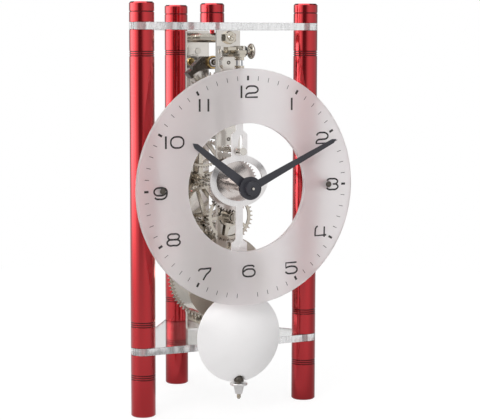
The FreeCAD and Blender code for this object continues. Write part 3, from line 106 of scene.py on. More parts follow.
class Graph:
    """A node tree, with short ways to add nodes and feed them."""

    def __init__(self, tree: bpy.types.NodeTree) -> None:
        """Work on a tree."""
        self.tree = tree

    def feed(self, node: bpy.types.Node, inputs: dict[str | int, Any]) -> None:
        """Link or set a node's inputs.

        Args:
            node: the node.
            inputs: a socket or a value for each input, by its name or number.
        """
        for key, value in inputs.items():
            if isinstance(value, Socket):
                self.tree.links.new(value, node.inputs[key])
            else:
                node.inputs[key].default_value = value

    def node(self, kind: str, inputs: dict[str | int, Any] | None = None, **settings: Any) -> bpy.types.Node:
        """Add a node.

        Args:
            kind: its type's name after ShaderNode.
            inputs: what goes into its inputs, as for feed.
            settings: its attributes.

        Returns:
            The new node.
        """
        made = self.tree.nodes.new("ShaderNode" + kind)
        for key, value in settings.items():
            setattr(made, key, value)
        self.feed(made, inputs or {})
        return made

    def sum(self, operation: str, *values: Any) -> Socket:
        """Add a sum by its operation and its inputs in order, each a socket or a number."""
        return self.node("Math", dict(enumerate(values)), operation=operation).outputs[0]

    def ramp(self, factor: Socket, stops: Sequence[tuple[float, Colour]]) -> Socket:
        """Add a colour ramp.

        Args:
            factor: the ramp's input.
            stops: position and colour of each stop.

        Returns:
            The colour's socket.
        """
        made = self.node("ValToRGB", {"Fac": factor})
        elements = made.color_ramp.elements
        elements.remove(elements[1])
        for index, (position, colour) in enumerate(stops):
            element = elements.new(position) if index else elements[0]
            element.position = position
            element.color = (*colour, 1)
        return made.outputs["Color"]

    def ranged(self, value: Socket, start: Point, end: Point, shape: str = "LINEAR") -> Socket:
        """Carry a value from one range to another, straight or by a named curve."""
        ends = dict(zip(("From Min", "From Max", "To Min", "To Max"), (*start, *end)))
        return self.node("MapRange", {"Value": value, **ends}, interpolation_type=shape).outputs["Result"]

    def mixed(self, factor: Socket, first: Socket, second: Socket) -> Socket:
        """Mix two shaders by the second one's share."""
        return self.node("MixShader", {0: factor, 1: first, 2: second}).outputs[0]

    def seen(self) -> Socket:
        """Add a value that is 1 for what the camera sees, also through clear plates."""
        path = self.node("LightPath").outputs
        return self.sum("MAXIMUM", path["Is Camera Ray"], path["Is Transmission Ray"])


class Surface(Graph):
    """The nodes of a material with one Principled surface."""

    def __init__(self, name: str) -> None:
        """Make the material.

        Args:
            name: the material's name.
        """
        self.material = bpy.data.materials.new(name)
        self.material.use_nodes = True
        super().__init__(self.material.node_tree)
        self.main = self.tree.nodes["Principled BSDF"]

    def set(self, inputs: dict[str | int, Any]) -> None:
        """Link or set the surface's own inputs, as for feed."""
        self.feed(self.main, inputs)

    def place(self, scale: Sequence[float], centre: Triple = (0, 0, 0)) -> Socket:
        """Object position in a stretched pattern space.

        Args:
            scale: pattern units per metre along each axis.
            centre: the point, in metres, that becomes the pattern's origin.

        Returns:
            The vector's socket.
        """
        position = self.node("TexCoord").outputs["Object"]
        shift = [-c * s for c, s in zip(centre, scale)]
        mapping = {"Vector": position, "Scale": scale, "Location": shift}
        return self.node("Mapping", mapping).outputs["Vector"]

    def noise(self, scale: Sequence[float], detail: float = 4.0) -> Socket:
        """Soft noise of so many units per metre along each axis, with finer layers in it."""
        inputs = {"Vector": self.place(scale), "Scale": 1.0, "Detail": detail}
        return self.node("TexNoise", inputs).outputs["Fac"]

    def rings(self, scale: Sequence[float], centre: Triple) -> Socket:
        """Noise that depends only on the distance from a centre.

        Args:
            scale: pattern units per metre along each axis.
            centre: the rings' centre, in metres.

        Returns:
            The noise's socket.
        """
        distance = self.node("VectorMath", {0: self.place(scale, centre)}, operation="LENGTH")
        inputs = {"W": distance.outputs["Value"], "Scale": 1.0, "Detail": 3.0}
        return self.node("TexNoise", inputs, noise_dimensions="1D").outputs["Fac"]

    def roughen(self, noise: Socket, low: float, high: float) -> None:
        """Vary the roughness so that the noise's usual swing covers a range."""
        self.set({"Roughness": self.ranged(noise, (NOISE_LOW, NOISE_HIGH), (low, high))})

    def tint(self, noise: Socket, dark: Colour, light: Colour) -> None:
        """Vary the colour between two shades, which the noise's usual swing covers."""
        self.set({"Base Color": self.ramp(noise, ((NOISE_LOW, dark), (NOISE_HIGH, light)))})

    def bump(self, height: Socket, strength: float, distance: float) -> None:
        """Texture the normal by a pattern, a share of its full effect and its height in metres."""
        inputs = {"Height": height, "Strength": strength, "Distance": distance}
        self.set({"Normal": self.node("Bump", inputs).outputs["Normal"]})


def shade(colour: Colour, factor: float) -> Colour:
    """Lighten or darken a colour, kept within 0 and 1."""
    return tuple(min(1.0, channel * factor) for channel in colour)


def scaled(value: float, swing: Point) -> Point:
    """Both ends of a range that is given by factors on a value."""
    return value * swing[0], value * swing[1]


@dataclass(frozen=True)
class Finish:
    """A procedural finish.

    Attributes:
        name: the material's name.
    """

    name: str

    def material(self) -> bpy.types.Material:
        """Build the material.

        Returns:
            The new material.
        """
        surface = Surface(self.name)
        self.dress(surface)
        return surface.material

    def dress(self, surface: Surface) -> None:
        """Set the surface's colour, gloss and texture."""
        raise NotImplementedError


@dataclass(frozen=True)
class Metal(Finish):
    """Bare or plated metal with a directed grain.

    Attributes:
        colour: reflected colour.
        roughness: middle roughness.
        grain: how the finishing lines run.
        lines: lines per millimetre across the grain.
        depth: height of the lines in metres.
        centre: axis of the rings, in metres, for a concentric grain.
        cloud: share by which the colour varies over the surface.
        metallic: share of mirror-like reflection; the rest is matt.
        clouds: clouds per metre along each axis.
        swing: factors between which the roughness varies.
        strength: share of the lines' full effect.
        length: length of a line by its width.
    """

    colour: Colour
    roughness: float
    grain: Grain = Grain.FREE
    lines: float = 5.0
    depth: float = 0.0000015
    centre: Triple = (0, 0, 0)
    cloud: float = 0.05
    metallic: float = 1.0
    clouds: Triple = (120.0, 120.0, 120.0)
    swing: Point = (0.8, 1.25)
    strength: float = 0.3
    length: float = 40.0

    def fine_lines(self, surface: Surface) -> Socket:
        """The finishing lines.

        Args:
            surface: the surface that they are on.

        Returns:
            Their noise's socket.
        """
        fine, coarse = self.lines / MM, self.lines / MM / self.length
        if self.grain is Grain.CONCENTRIC:
            return surface.rings((fine, 0, fine), self.centre)
        scale = (fine, fine, coarse) if self.grain is Grain.UPRIGHT else [coarse * 4] * 3
        return surface.noise(scale, 2.0)

    def dress(self, surface: Surface) -> None:
        """Lines in the gloss and the normal, and slow clouds in the colour.

        Args:
            surface: the surface.
        """
        surface.set({"Metallic": self.metallic})
        fine, cloud = self.fine_lines(surface), surface.noise(self.clouds)
        surface.tint(cloud, shade(self.colour, 1 - self.cloud), shade(self.colour, 1 + self.cloud))
        surface.roughen(fine, *scaled(self.roughness, self.swing))
        surface.bump(fine, self.strength, self.depth)


@dataclass(frozen=True)
class Anodised(Finish):
    """Dyed, anodised aluminium with fine drawn lines along the bar.

    Attributes:
        dark: the dye's darker shade.
        light: its lighter shade.
        roughness: middle roughness under the gloss.
        gloss: roughness of the clear gloss.
        lines: drawn lines per millimetre.
        length: length of a line by its width.
        depth: height of the lines in metres.
        clouds: clouds per metre along each axis.
        swing: factors between which the roughness varies.
        strength: share of the lines' full effect.
    """

    dark: Colour
    light: Colour
    roughness: float
    gloss: float = 0.07
    lines: float = 3.0
    length: float = 60.0
    depth: float = 0.0000012
    clouds: Triple = (60.0, 60.0, 14.0)
    swing: Point = (0.92, 1.08)
    strength: float = 0.2

    def dress(self, surface: Surface) -> None:
        """Metal under a clear gloss.

        Args:
            surface: the surface.
        """
        surface.set({"Metallic": 1.0, "Coat Weight": 1.0, "Coat Roughness": self.gloss, "Coat IOR": 1.5})
        fine = self.lines / MM
        drawn = surface.noise((fine, fine, fine / self.length), 3.0)
        surface.tint(surface.noise(self.clouds), self.dark, self.light)
        surface.roughen(drawn, *scaled(self.roughness, self.swing))
        surface.bump(drawn, self.strength, self.depth)


@dataclass(frozen=True)
class ClearAcrylic(Finish):
    """Water-clear sheet, polished on its faces and finely sawn on its edges.

    Attributes:
        dark: colour of the faint streaks.
        light: colour between them.
        clearness: share of the light that passes through.
        haze: greatest roughness of the surface.
        saw: height of the saw's marks, in metres.
        ior: index of refraction.
        streaks: streaks per metre along each axis.
        smudges: smudges per metre.
        marks: the saw's marks per metre.
        swing: shares of the haze between which the roughness varies.
        strength: share of the marks' full effect.
    """

    dark: Colour
    light: Colour
    clearness: float
    haze: float
    saw: float = 0.0000002
    ior: float = 1.36
    streaks: Triple = (1300.0, 1300.0, 150.0)
    smudges: Triple = (90.0, 90.0, 90.0)
    marks: Triple = (700.0, 700.0, 60.0)
    swing: Point = (0.2, 1.0)
    strength: float = 0.12

    def dress(self, surface: Surface) -> None:
        """Faint streaks, smudges and saw marks in a clear body.

        Args:
            surface: the surface.
        """
        surface.set({"IOR": self.ior, "Transmission Weight": self.clearness})
        surface.tint(surface.noise(self.streaks), self.dark, self.light)
        surface.roughen(surface.noise(self.smudges, 5.0), *scaled(self.haze, self.swing))
        surface.bump(surface.noise(self.marks, 2.0), self.strength, self.saw)


@dataclass(frozen=True)
class FrostedAcrylic(Finish):
    """Sand-blasted sheet that blurs what stands behind it.

    Attributes:
        colour: the sheet's colour.
        roughness: how much it blurs.
        clearness: share of the light that passes through.
        ior: index of refraction.
        clouds: clouds per metre along each axis.
        shades: factors between which the colour varies.
    """

    colour: Colour
    roughness: float
    clearness: float
    ior: float = 1.3
    clouds: Triple = (45.0, 45.0, 45.0)
    shades: Point = (0.985, 1.01)

    def dress(self, surface: Surface) -> None:
        """Even frost with slow clouds in the colour."""
        surface.set({"IOR": self.ior, "Transmission Weight": self.clearness, "Roughness": self.roughness})
        surface.tint(surface.noise(self.clouds), *(shade(self.colour, factor) for factor in self.shades))


@dataclass(frozen=True)
class Enamel(Finish):
    """Satin paint or print with a faint texture.

    Attributes:
        colour: the paint's colour.
        roughness: its middle roughness.
        texture: height of its grit, in metres.
        grit: grains per metre along each axis.
        clouds: clouds per metre.
        shades: factors between which the colour varies.
        swing: factors between which the roughness varies.
        strength: share of the grit's full effect.
    """

    colour: Colour
    roughness: float
    texture: float = 0.00001
    grit: Triple = (4000.0, 4000.0, 4000.0)
    clouds: Triple = (150.0, 150.0, 150.0)
    shades: Point = (0.9, 1.1)
    swing: Point = (0.85, 1.15)
    strength: float = 0.25

    def dress(self, surface: Surface) -> None:
        """Fine grit in the gloss and the normal.

        Args:
            surface: the surface.
        """
        grit, cloud = surface.noise(self.grit, 3.0), surface.noise(self.clouds)
        surface.tint(cloud, *(shade(self.colour, factor) for factor in self.shades))
        surface.roughen(grit, *scaled(self.roughness, self.swing))
        surface.bump(grit, self.strength, self.texture)


@dataclass
class Palette:
    """Every finish on the clock, by what it is on; a material is built when it is first used.

    Attributes:
        made: the materials that are built, by name.
    """

    red: Finish = Anodised("red_anodised", (0.52, 0.008, 0.015), (0.56, 0.013, 0.021), 0.17)
    # painted shade: a much darker red for the posts' grooves, where shade falls
    groove: Finish = Anodised("red_groove_shade", (0.1, 0.003, 0.006), (0.14, 0.005, 0.008), 0.4)
    clear: Finish = ClearAcrylic("clear_sheet", (0.79, 0.795, 0.79), (0.83, 0.835, 0.83), 0.97, 0.03)
    sawn: Finish = ClearAcrylic("sheet_edge", (0.7, 0.705, 0.71), (0.97, 0.97, 0.97), 0.72, 0.22, 0.00002)
    frosted: Finish = FrostedAcrylic("frosted_dial", (0.775, 0.745, 0.748), 0.66, 0.68)
    plate: Finish = Metal("nickel_plate", (0.7, 0.665, 0.62), 0.14, Grain.UPRIGHT, 6.0)
    wheel: Finish = Metal("nickel_wheel", (0.6, 0.55, 0.48), 0.13)
    turned: Finish = Metal("turned_nickel", (0.62, 0.57, 0.49), 0.13)
    steel: Finish = Metal("polished_steel", (0.6, 0.57, 0.52), 0.12)
    # painted shade: a dark finish on gear tooth flanks, for the shade between the teeth
    cut: Finish = Metal("flank_painted_shade", (0.2, 0.175, 0.145), 0.3)
    knob: Finish = Metal("satin_knob", (0.5, 0.465, 0.41), 0.27)
    dark_steel: Finish = Metal("dark_steel", (0.13, 0.115, 0.1), 0.3)
    brass: Finish = Metal("brass", (0.83, 0.6, 0.27), 0.22, Grain.CONCENTRIC, 6.0)
    spring: Finish = Metal("spring_steel", (0.5, 0.52, 0.56), 0.3, Grain.UPRIGHT, 5.0)
    rod: Finish = Metal("satin_nickel_rod", (0.93, 0.905, 0.9), 0.32, Grain.UPRIGHT, 6.0)
    satin: Finish = Metal(
        "satin_wheel", (0.76, 0.7, 0.67), 0.2, Grain.CONCENTRIC, 4.0, 0.000001, (0, 0, 0.1398)
    )
    bob: Finish = Metal(
        "satin_bob", (0.95, 0.935, 0.935), 0.4, Grain.CONCENTRIC, 3.0, 0.000002, (0, 0, 0.0475), 0.01, 0.55
    )
    hands: Finish = Enamel("anthracite", (0.03, 0.03, 0.038), 0.45)
    print: Finish = Enamel("printed_marks", (0.022, 0.018, 0.018), 0.6, 0.000004)
    made: dict[str, bpy.types.Material] = field(default_factory=dict)

    def material(self, finish: Finish) -> bpy.types.Material:
        """Find or build the material of a finish.

        Args:
            finish: the finish.

        Returns:
            Its material.
        """
        if finish.name not in self.made:
            self.made[finish.name] = finish.material()
        return self.made[finish.name]


# Shapes


def welded(mesh: Mesh, distance: float = MERGED) -> Mesh:
    """Merge doubled vertices and turn every face outwards.

    Args:
        mesh: the mesh, changed in place.
        distance: how far apart doubled vertices may be, in metres.

    Returns:
        The same mesh.
    """
    bmesh.ops.remove_doubles(mesh, verts=mesh.verts, dist=distance)
    bmesh.ops.recalc_face_normals(mesh, faces=mesh.faces)
    return mesh


def eased(mesh: Mesh, width: float) -> Mesh:
    """Round the sharp edges of a closed mesh.

    Args:
        mesh: the mesh, changed in place.
        width: the rounding's width, in millimetres.

    Returns:
        The same mesh.
    """
    sharp = [e for e in mesh.edges if len(e.link_faces) == 2 and e.calc_face_angle(0.0) > ROUNDED_ANGLE]
    bmesh.ops.bevel(
        mesh,
        geom=sharp,
        offset=width * MM,
        offset_type="OFFSET",
        segments=2,
        profile=0.5,
        affect="EDGES",
        clamp_overlap=False,
        material=-1,
    )
    return mesh


def along(profile: Sequence[Point], start: float, way: int = 1) -> list[Point]:
    """Place points by radius and distance from an end; -1 mirrors them and turns their order round."""
    return [(r, start + way * h) for r, h in profile][::way]


def across(axis: Vector) -> Vector:
    """A direction square to an axis."""
    return Z_AXIS if abs(axis.z) < 0.5 else X_AXIS


def turned(profile: Sequence[Point], axis: Vector, origin: Vector, steps: int = SMALL_STEPS) -> Mesh:
    """Turn a profile about an axis.

    Args:
        profile: points of radius and height along the axis, in millimetres.
        axis: unit direction of the axis.
        origin: the axis's zero height, in metres.
        steps: faces around.

    Returns:
        The closed mesh.
    """
    side = across(axis)
    mesh = bmesh.new()
    corners = [mesh.verts.new(origin + side * r * MM + axis * h * MM) for r, h in profile]
    edges = [mesh.edges.new(pair) for pair in zip(corners, corners[1:])]
    if profile[0][0] > 0 and profile[-1][0] > 0:
        edges.append(mesh.edges.new((corners[-1], corners[0])))
    geometry = corners + edges
    bmesh.ops.spin(mesh, geom=geometry, cent=origin, axis=axis, angle=FULL_TURN, steps=steps, use_merge=True)
    return welded(mesh, SPUN_MERGED)


def thickened(mesh: Mesh, vec: Triple) -> Mesh:
    """Make a plate of a flat face.

    Args:
        mesh: a mesh with one face, changed in place.
        vec: the way to the other face, in metres.

    Returns:
        The same mesh.
    """
    grown = bmesh.ops.extrude_face_region(mesh, geom=list(mesh.faces))["geom"]
    moved = [item for item in grown if isinstance(item, bmesh.types.BMVert)]
    bmesh.ops.translate(mesh, vec=vec, verts=moved)
    return welded(mesh)


def block(low: Triple, high: Triple) -> Mesh:
    """Make a block.

    Args:
        low: its lowest corner, in millimetres.
        high: its highest corner.

    Returns:
        The closed mesh.
    """
    mesh = bmesh.new()
    bmesh.ops.create_cube(mesh, size=1.0)
    bmesh.ops.scale(mesh, vec=[(b - a) * MM for a, b in zip(low, high)], verts=mesh.verts)
    bmesh.ops.translate(mesh, vec=[(a + b) / 2 * MM for a, b in zip(low, high)], verts=mesh.verts)
    return mesh


def joined(meshes: Sequence[Mesh]) -> Mesh:
    """Put several meshes in one, and free them.

    Args:
        meshes: the meshes.

    Returns:
        The mesh that holds them all.
    """
    whole = bmesh.new()
    for part in meshes:
        carrier = bpy.data.meshes.new("carrier")
        part.to_mesh(carrier)
        part.free()
        whole.from_mesh(carrier)
        bpy.data.meshes.remove(carrier)
    return whole


def as_object(mesh: Mesh, name: str) -> bpy.types.Object:
    """Put a mesh in an object at the origin, and free it.

    Args:
        mesh: the mesh.
        name: the object's name.

    Returns:
        The object.
    """
    data = bpy.data.meshes.new(name)
    mesh.to_mesh(data)
    mesh.free()
    made = bpy.data.objects.new(name, data)
    bpy.context.scene.collection.objects.link(made)
    return made


def carved(body: Mesh, cutter: Mesh) -> Mesh:
    """Cut one closed mesh out of another, and free both.

    Args:
        body: what is kept.
        cutter: what is taken away.

    Returns:
        The cut mesh.
    """
    kept, tool = as_object(body, "kept"), as_object(cutter, "tool")
    modifier = kept.modifiers.new("cut", "BOOLEAN")
    modifier.object = tool
    modifier.solver = "EXACT"
    evaluated = kept.evaluated_get(bpy.context.evaluated_depsgraph_get())
    data = bpy.data.meshes.new_from_object(evaluated)
    result = bmesh.new()
    result.from_mesh(data)
    for item in (kept, tool):
        old = item.data
        bpy.data.objects.remove(item)
        bpy.data.meshes.remove(old)
    bpy.data.meshes.remove(data)
    return welded(result)


@dataclass(frozen=True)
class Thread:
    """Ridge wound along a rod.

    Attributes:
        radius: the thread's outer radius, in millimetres.
        depth: the ridge's height.
        pitch: travel of one turn.
        foot: share of the pitch from the ridge's top to its foot.
        steps: faces in one turn.
    """

    radius: float
    depth: float
    pitch: float = 0.5
    foot: float = 0.42
    steps: int = 18

    def ridge(self, length: float, axis: Vector, origin: Vector) -> Mesh:
        """Make the ridge.

        Args:
            length: threaded length, in millimetres.
            axis: unit direction of the rod.
            origin: where the thread starts, in metres.

        Returns:
            The ridge's mesh.
        """
        root, half = self.radius - self.depth, self.foot * self.pitch
        turns = length / self.pitch - 1
        steps = int(turns * self.steps)
        mesh = bmesh.new()
        start = origin + axis * self.pitch * 0.5 * MM
        outline = ((root, -half), (self.radius, 0.0), (root, half))
        corners = [mesh.verts.new(start + across(axis) * r * MM + axis * h * MM) for r, h in outline]
        edges = [mesh.edges.new((corners[i], corners[(i + 1) % 3])) for i in range(3)]
        face = mesh.faces.new(corners)
        bmesh.ops.spin(
            mesh,
            geom=[face, *edges, *corners],
            cent=origin,
            axis=axis,
            dvec=axis * turns * self.pitch * MM / steps,
            angle=FULL_TURN * turns,
            steps=steps,
            use_merge=False,
        )
        return welded(mesh, SPUN_MERGED)


class Workshop:
    """Makes pieces from meshes, and hangs them on the clock's bodies."""

    def __init__(self, frame: dict[str, Any]) -> None:
        """Keep what the pieces need from the frame.
        """
        record = frame["record"]
        self.nodes: dict[str, bpy.types.Object] = frame["nodes"]
        self.palette = Palette()
        self.slots = {part["node"]: part["material_slot"] for part in record["subparts"]}
        bodies = record["behaviour"]["bodies"]
        self.bodies = {node: body for body, nodes in bodies.items() for node in nodes}

    def piece(self, name: str, mesh: Mesh, node: str, *finishes: Finish, replaces: bool = False) -> None:
        """Make a piece from a mesh.

        Args:
            name: the piece's name.
            mesh: its closed mesh, which is freed.
            node: the CAD node that carries it, or that it stands for.
            finishes: its finishes, in the order of the faces' material numbers.
            replaces: whether it stands for the node.
        """
        made = as_object(mesh, name)
        data = made.data
        data.polygons.foreach_set("use_smooth", [True] * len(data.polygons))
        data.set_sharp_from_angle(angle=SMOOTH_ANGLE)
        for finish in finishes:
            data.materials.append(self.palette.material(finish))
        normals = made.modifiers.new("normals", "WEIGHTED_NORMAL")
        normals.keep_sharp = True
        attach(made, self.bodies[node])
        if replaces:
            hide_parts(node)
        LOG.info("%s: %d faces", name, len(data.polygons))

    def stand_in(self, node: str, ending: str, mesh: Mesh, *finishes: Finish) -> None:
        """Make a piece that stands for a CAD node, and whose name adds an ending to the node's."""
        self.piece(node + ending, mesh, node, *finishes, replaces=True)

    def copy(self, node: str, flat: bool = True) -> Mesh:
        """Copy a CAD node's mesh, with its doubled vertices merged.

        Args:
            node: the node.
            flat: whether its flat faces are made whole.

        Returns:
            The copy.
        """
        mesh = bmesh.new()
        mesh.from_mesh(self.nodes[node].data)
        bmesh.ops.remove_doubles(mesh, verts=mesh.verts, dist=COPY_MERGED)
        if flat:
            bmesh.ops.dissolve_limit(mesh, angle_limit=FLAT_ANGLE, verts=mesh.verts, edges=mesh.edges)
        return mesh

    def refine(self, finish: Finish, flat: bool = True, **widths: float) -> None:
        """Stand copies in for CAD nodes, with edges rounded by each node's width in millimetres."""
        for node, width in widths.items():
            self.stand_in(node, "_finished", eased(self.copy(node, flat), width), finish)

    def geared(self, node: str, finish: Finish) -> None:
        """Stand a copy with rounded edges in for a wheel or a pinion, its tooth flanks darkened as painted
        shade between the teeth.

        Args:
            node: the node, which turns about an axis along Y.
            finish: the finish of its faces and tips.
        """
        mesh = eased(self.copy(node), GEAR_ROUND)
        mesh.normal_update()
        middle = self.middle(node)
        # Flank faces take the second, dark finish: painted shade between the teeth.
        for face in mesh.faces:
            outward = face.calc_center_median() - middle
            outward.y = 0
            shaded_flank = abs(face.normal.dot(outward.normalized())) < TIP_COSINE
            face.material_index = int(shaded_flank and abs(face.normal.y) < FACE_COSINE)
        self.stand_in(node, "_finished", mesh, finish, self.palette.cut)

    def paint(self, node: str, finish: Finish) -> None:
        """Give a CAD node that stays in view its finish.

        Args:
            node: the node.
            finish: its finish.
        """
        materials = self.nodes[node].data.materials
        materials.clear()
        materials.append(self.palette.material(finish))

    def middle(self, node: str) -> Vector:
        """Middle of a node's box at rest, in metres."""
        low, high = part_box(node)
        return (low + high) / 2

    def span(self, node: str, axis: int) -> Point:
        """Lowest and highest place of a node along an axis, in millimetres."""
        low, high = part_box(node)
        return low[axis] / MM, high[axis] / MM


# Fasteners


@dataclass(frozen=True)
class SlottedScrew:
    """Round-headed screw with a driver slot; it faces along its axis.

    Attributes:
        radius: head radius, in millimetres.
        height: head height.
        slot: slot width.
        slot_angle: turn of the slot about the axis, in degrees.
        dome: profile by shares of radius and height.
    """

    radius: float
    height: float
    slot: float
    slot_angle: float = 35.0
    dome: tuple[Point, ...] = ((0, 0), (1, 0), (1, 0.55), (0.93, 0.85), (0.75, 1), (0, 1))

    def head(self, axis: Vector, seat: Vector) -> Mesh:
        """Make the head.

        Args:
            axis: unit direction that the head faces.
            seat: middle of the seat, in metres.

        Returns:
            The head's mesh.
        """
        r, h = self.radius, self.height
        profile = [(r * share, h * rise) for share, rise in self.dome]
        groove = block((-self.slot / 2, -1.5 * r, -h / 2), (self.slot / 2, 1.5 * r, h / 2))
        turn = Matrix.Rotation(math.radians(self.slot_angle), 4, "Z")
        aim = Z_AXIS.rotation_difference(axis).to_matrix().to_4x4()
        lift = Matrix.Translation(seat + axis * h * MM)
        bmesh.ops.transform(groove, matrix=lift @ aim @ turn, verts=groove.verts)
        return carved(turned(profile, axis, seat), groove)


@dataclass(frozen=True)
class HexNut:
    """Chamfered hexagon nut on a pillar's threaded end.

    Attributes:
        flats: distance between opposite flats, in millimetres.
        height: the nut's height.
        bore: the bore's radius.
        chamfer: how far the chamfer runs down the corners.
    """

    flats: float = 7.0
    height: float = 3.1
    bore: float = 2.0
    chamfer: float = 0.45

    def mesh(self, axis: Vector, seat: Vector) -> Mesh:
        """Make the nut with its free face chamfered.

        Args:
            axis: unit direction from the seat to the nut's free face.
            seat: middle of the seat, in metres.

        Returns:
            The nut's mesh.
        """
        corner, half, h = self.flats / math.sqrt(3), self.flats / 2, self.height
        mesh = bmesh.new()
        bmesh.ops.create_circle(mesh, cap_ends=True, radius=corner * MM, segments=6)
        thickened(mesh, (0, 0, h * MM))
        level = Matrix.Rotation(math.radians(90), 4, "X")
        aim = Vector((0, -1, 0)).rotation_difference(axis).to_matrix().to_4x4()
        bmesh.ops.transform(mesh, matrix=Matrix.Translation(seat) @ aim @ level, verts=mesh.verts)
        crown, rim, wide = half * 0.98, corner * 1.02, corner * 1.6
        low, past = h - self.chamfer, h + 1
        cone = [(crown, h + 0.01), (rim, low), (wide, low), (wide, past), (crown, past)]
        hole = [(0, -1), (self.bore, -1), (self.bore, past), (0, past)]
        for cutter in (cone, hole):
            mesh = carved(mesh, turned(cutter, axis, seat))
        return mesh


# Sub-assemblies


@dataclass
class Assembly:
    """Part of the clock.

    Attributes:
        shop: the workshop that builds it.
    """

    shop: Workshop

    @property
    def palette(self) -> Palette:
        """The workshop's finishes."""
        return self.shop.palette

    def build(self) -> None:
        """Make the assembly's pieces."""
        raise NotImplementedError


@dataclass
class Stand(Assembly):
    """Feet, posts and caps in red, and the two clear plates.

    Attributes:
        radius: radius of every bar, in millimetres.
        pitch: distance between neighbouring grooves.
        groove_width: width of a groove at the surface.
        groove_depth: depth of a groove.
        groove_floor: share of the width that its floor takes.
        groove_edge: how far its rounded edge goes in and out.
        foot_grooves: height of the middle groove of the feet.
        post_grooves: heights of the middle grooves of the posts.
        cap_groove: height of a cap's groove.
        foot_chamfer: chamfer of the feet's lower ends.
        cap_chamfer: chamfer of the caps' upper ends.
        arris: the small rounding where a bar meets a plate.
        sheet_round: rounding of the clear plates' edges.
    """

    radius: float = 7.5
    pitch: float = 1.3
    groove_width: float = 0.62
    groove_depth: float = 0.4
    groove_floor: float = 0.45
    groove_edge: Point = (0.05, 0.06)
    foot_grooves: float = 24.3
    post_grooves: Point = (56.7, 219.3)
    cap_groove: float = 244.2
    foot_chamfer: float = 0.63
    cap_chamfer: float = 0.9
    arris: float = 0.18
    sheet_round: float = 0.25

    def groove(self, height: float) -> list[Point]:
        """Profile of one round-bottomed groove.

        Args:
            height: height of its middle, in millimetres.

        Returns:
            Its points from below to above.
        """
        half, r, (inwards, outwards) = self.groove_width / 2, self.radius, self.groove_edge
        floor = (r - self.groove_depth, half * self.groove_floor)
        upper = [floor, (r - inwards, half), (r, half + outwards)]
        return along(upper, height, -1) + along(upper, height)

    def bar(self, node: str, grooves: Sequence[float], lower: float, upper: float) -> None:
        """Make one bar of a post, with its grooves in a darker red as painted shade.

        Args:
            node: the CAD node that it stands for.
            grooves: heights of its grooves from below, in millimetres.
            lower: chamfer of its lower end.
            upper: chamfer of its upper end.
        """
        (bottom, top), r = self.shop.span(node, Z), self.radius
        profile = [(0, bottom), (r - lower, bottom), (r, bottom + lower)]
        for height in grooves:
            profile += self.groove(height)
        profile += [(r, top - upper), (r - upper, top), (0, top)]
        centre = self.shop.middle(node)
        mesh = turned(profile, Z_AXIS, Vector((centre.x, centre.y, 0)), FINE_STEPS)
        reach = self.groove_width / 2 * MM
        # Faces in a groove take the second, darker red: painted shade in the grooves.
        for face in mesh.faces:
            height = face.calc_center_median().z
            face.material_index = int(any(abs(height - groove * MM) < reach for groove in grooves))
        self.shop.stand_in(node, "_turned", mesh, self.palette.red, self.palette.groove)

    def trio(self, middle: float) -> list[float]:
        """Heights of three neighbouring grooves."""
        return [middle - self.pitch, middle, middle + self.pitch]

    def sheet(self, node: str) -> None:
        """Make a clear plate with rounded arrises and sawn edges.

        Args:
            node: the CAD node that it stands for.
        """
        mesh = eased(self.shop.copy(node), self.sheet_round)
        for face in mesh.faces:
            face.material_index = int(abs(face.normal.z) < FACE_COSINE)
        self.shop.stand_in(node, "_finished", mesh, self.palette.clear, self.palette.sawn)

    def build(self) -> None:
        """Make the stand's pieces."""
        heights = self.trio(self.post_grooves[0]) + self.trio(self.post_grooves[1])
        for side in ("left", "right", "rear"):
            self.bar("foot_" + side, self.trio(self.foot_grooves), self.foot_chamfer, self.arris)
            self.bar("post_" + side, heights, self.arris, self.arris)
        for place in ("left", "right", "rear", "centre"):
            self.bar("cap_" + place, [self.cap_groove], self.arris, self.cap_chamfer)
        self.shop.paint("frame_studs", self.palette.red)
        self.sheet("bottom_plate")
        self.sheet("top_plate")


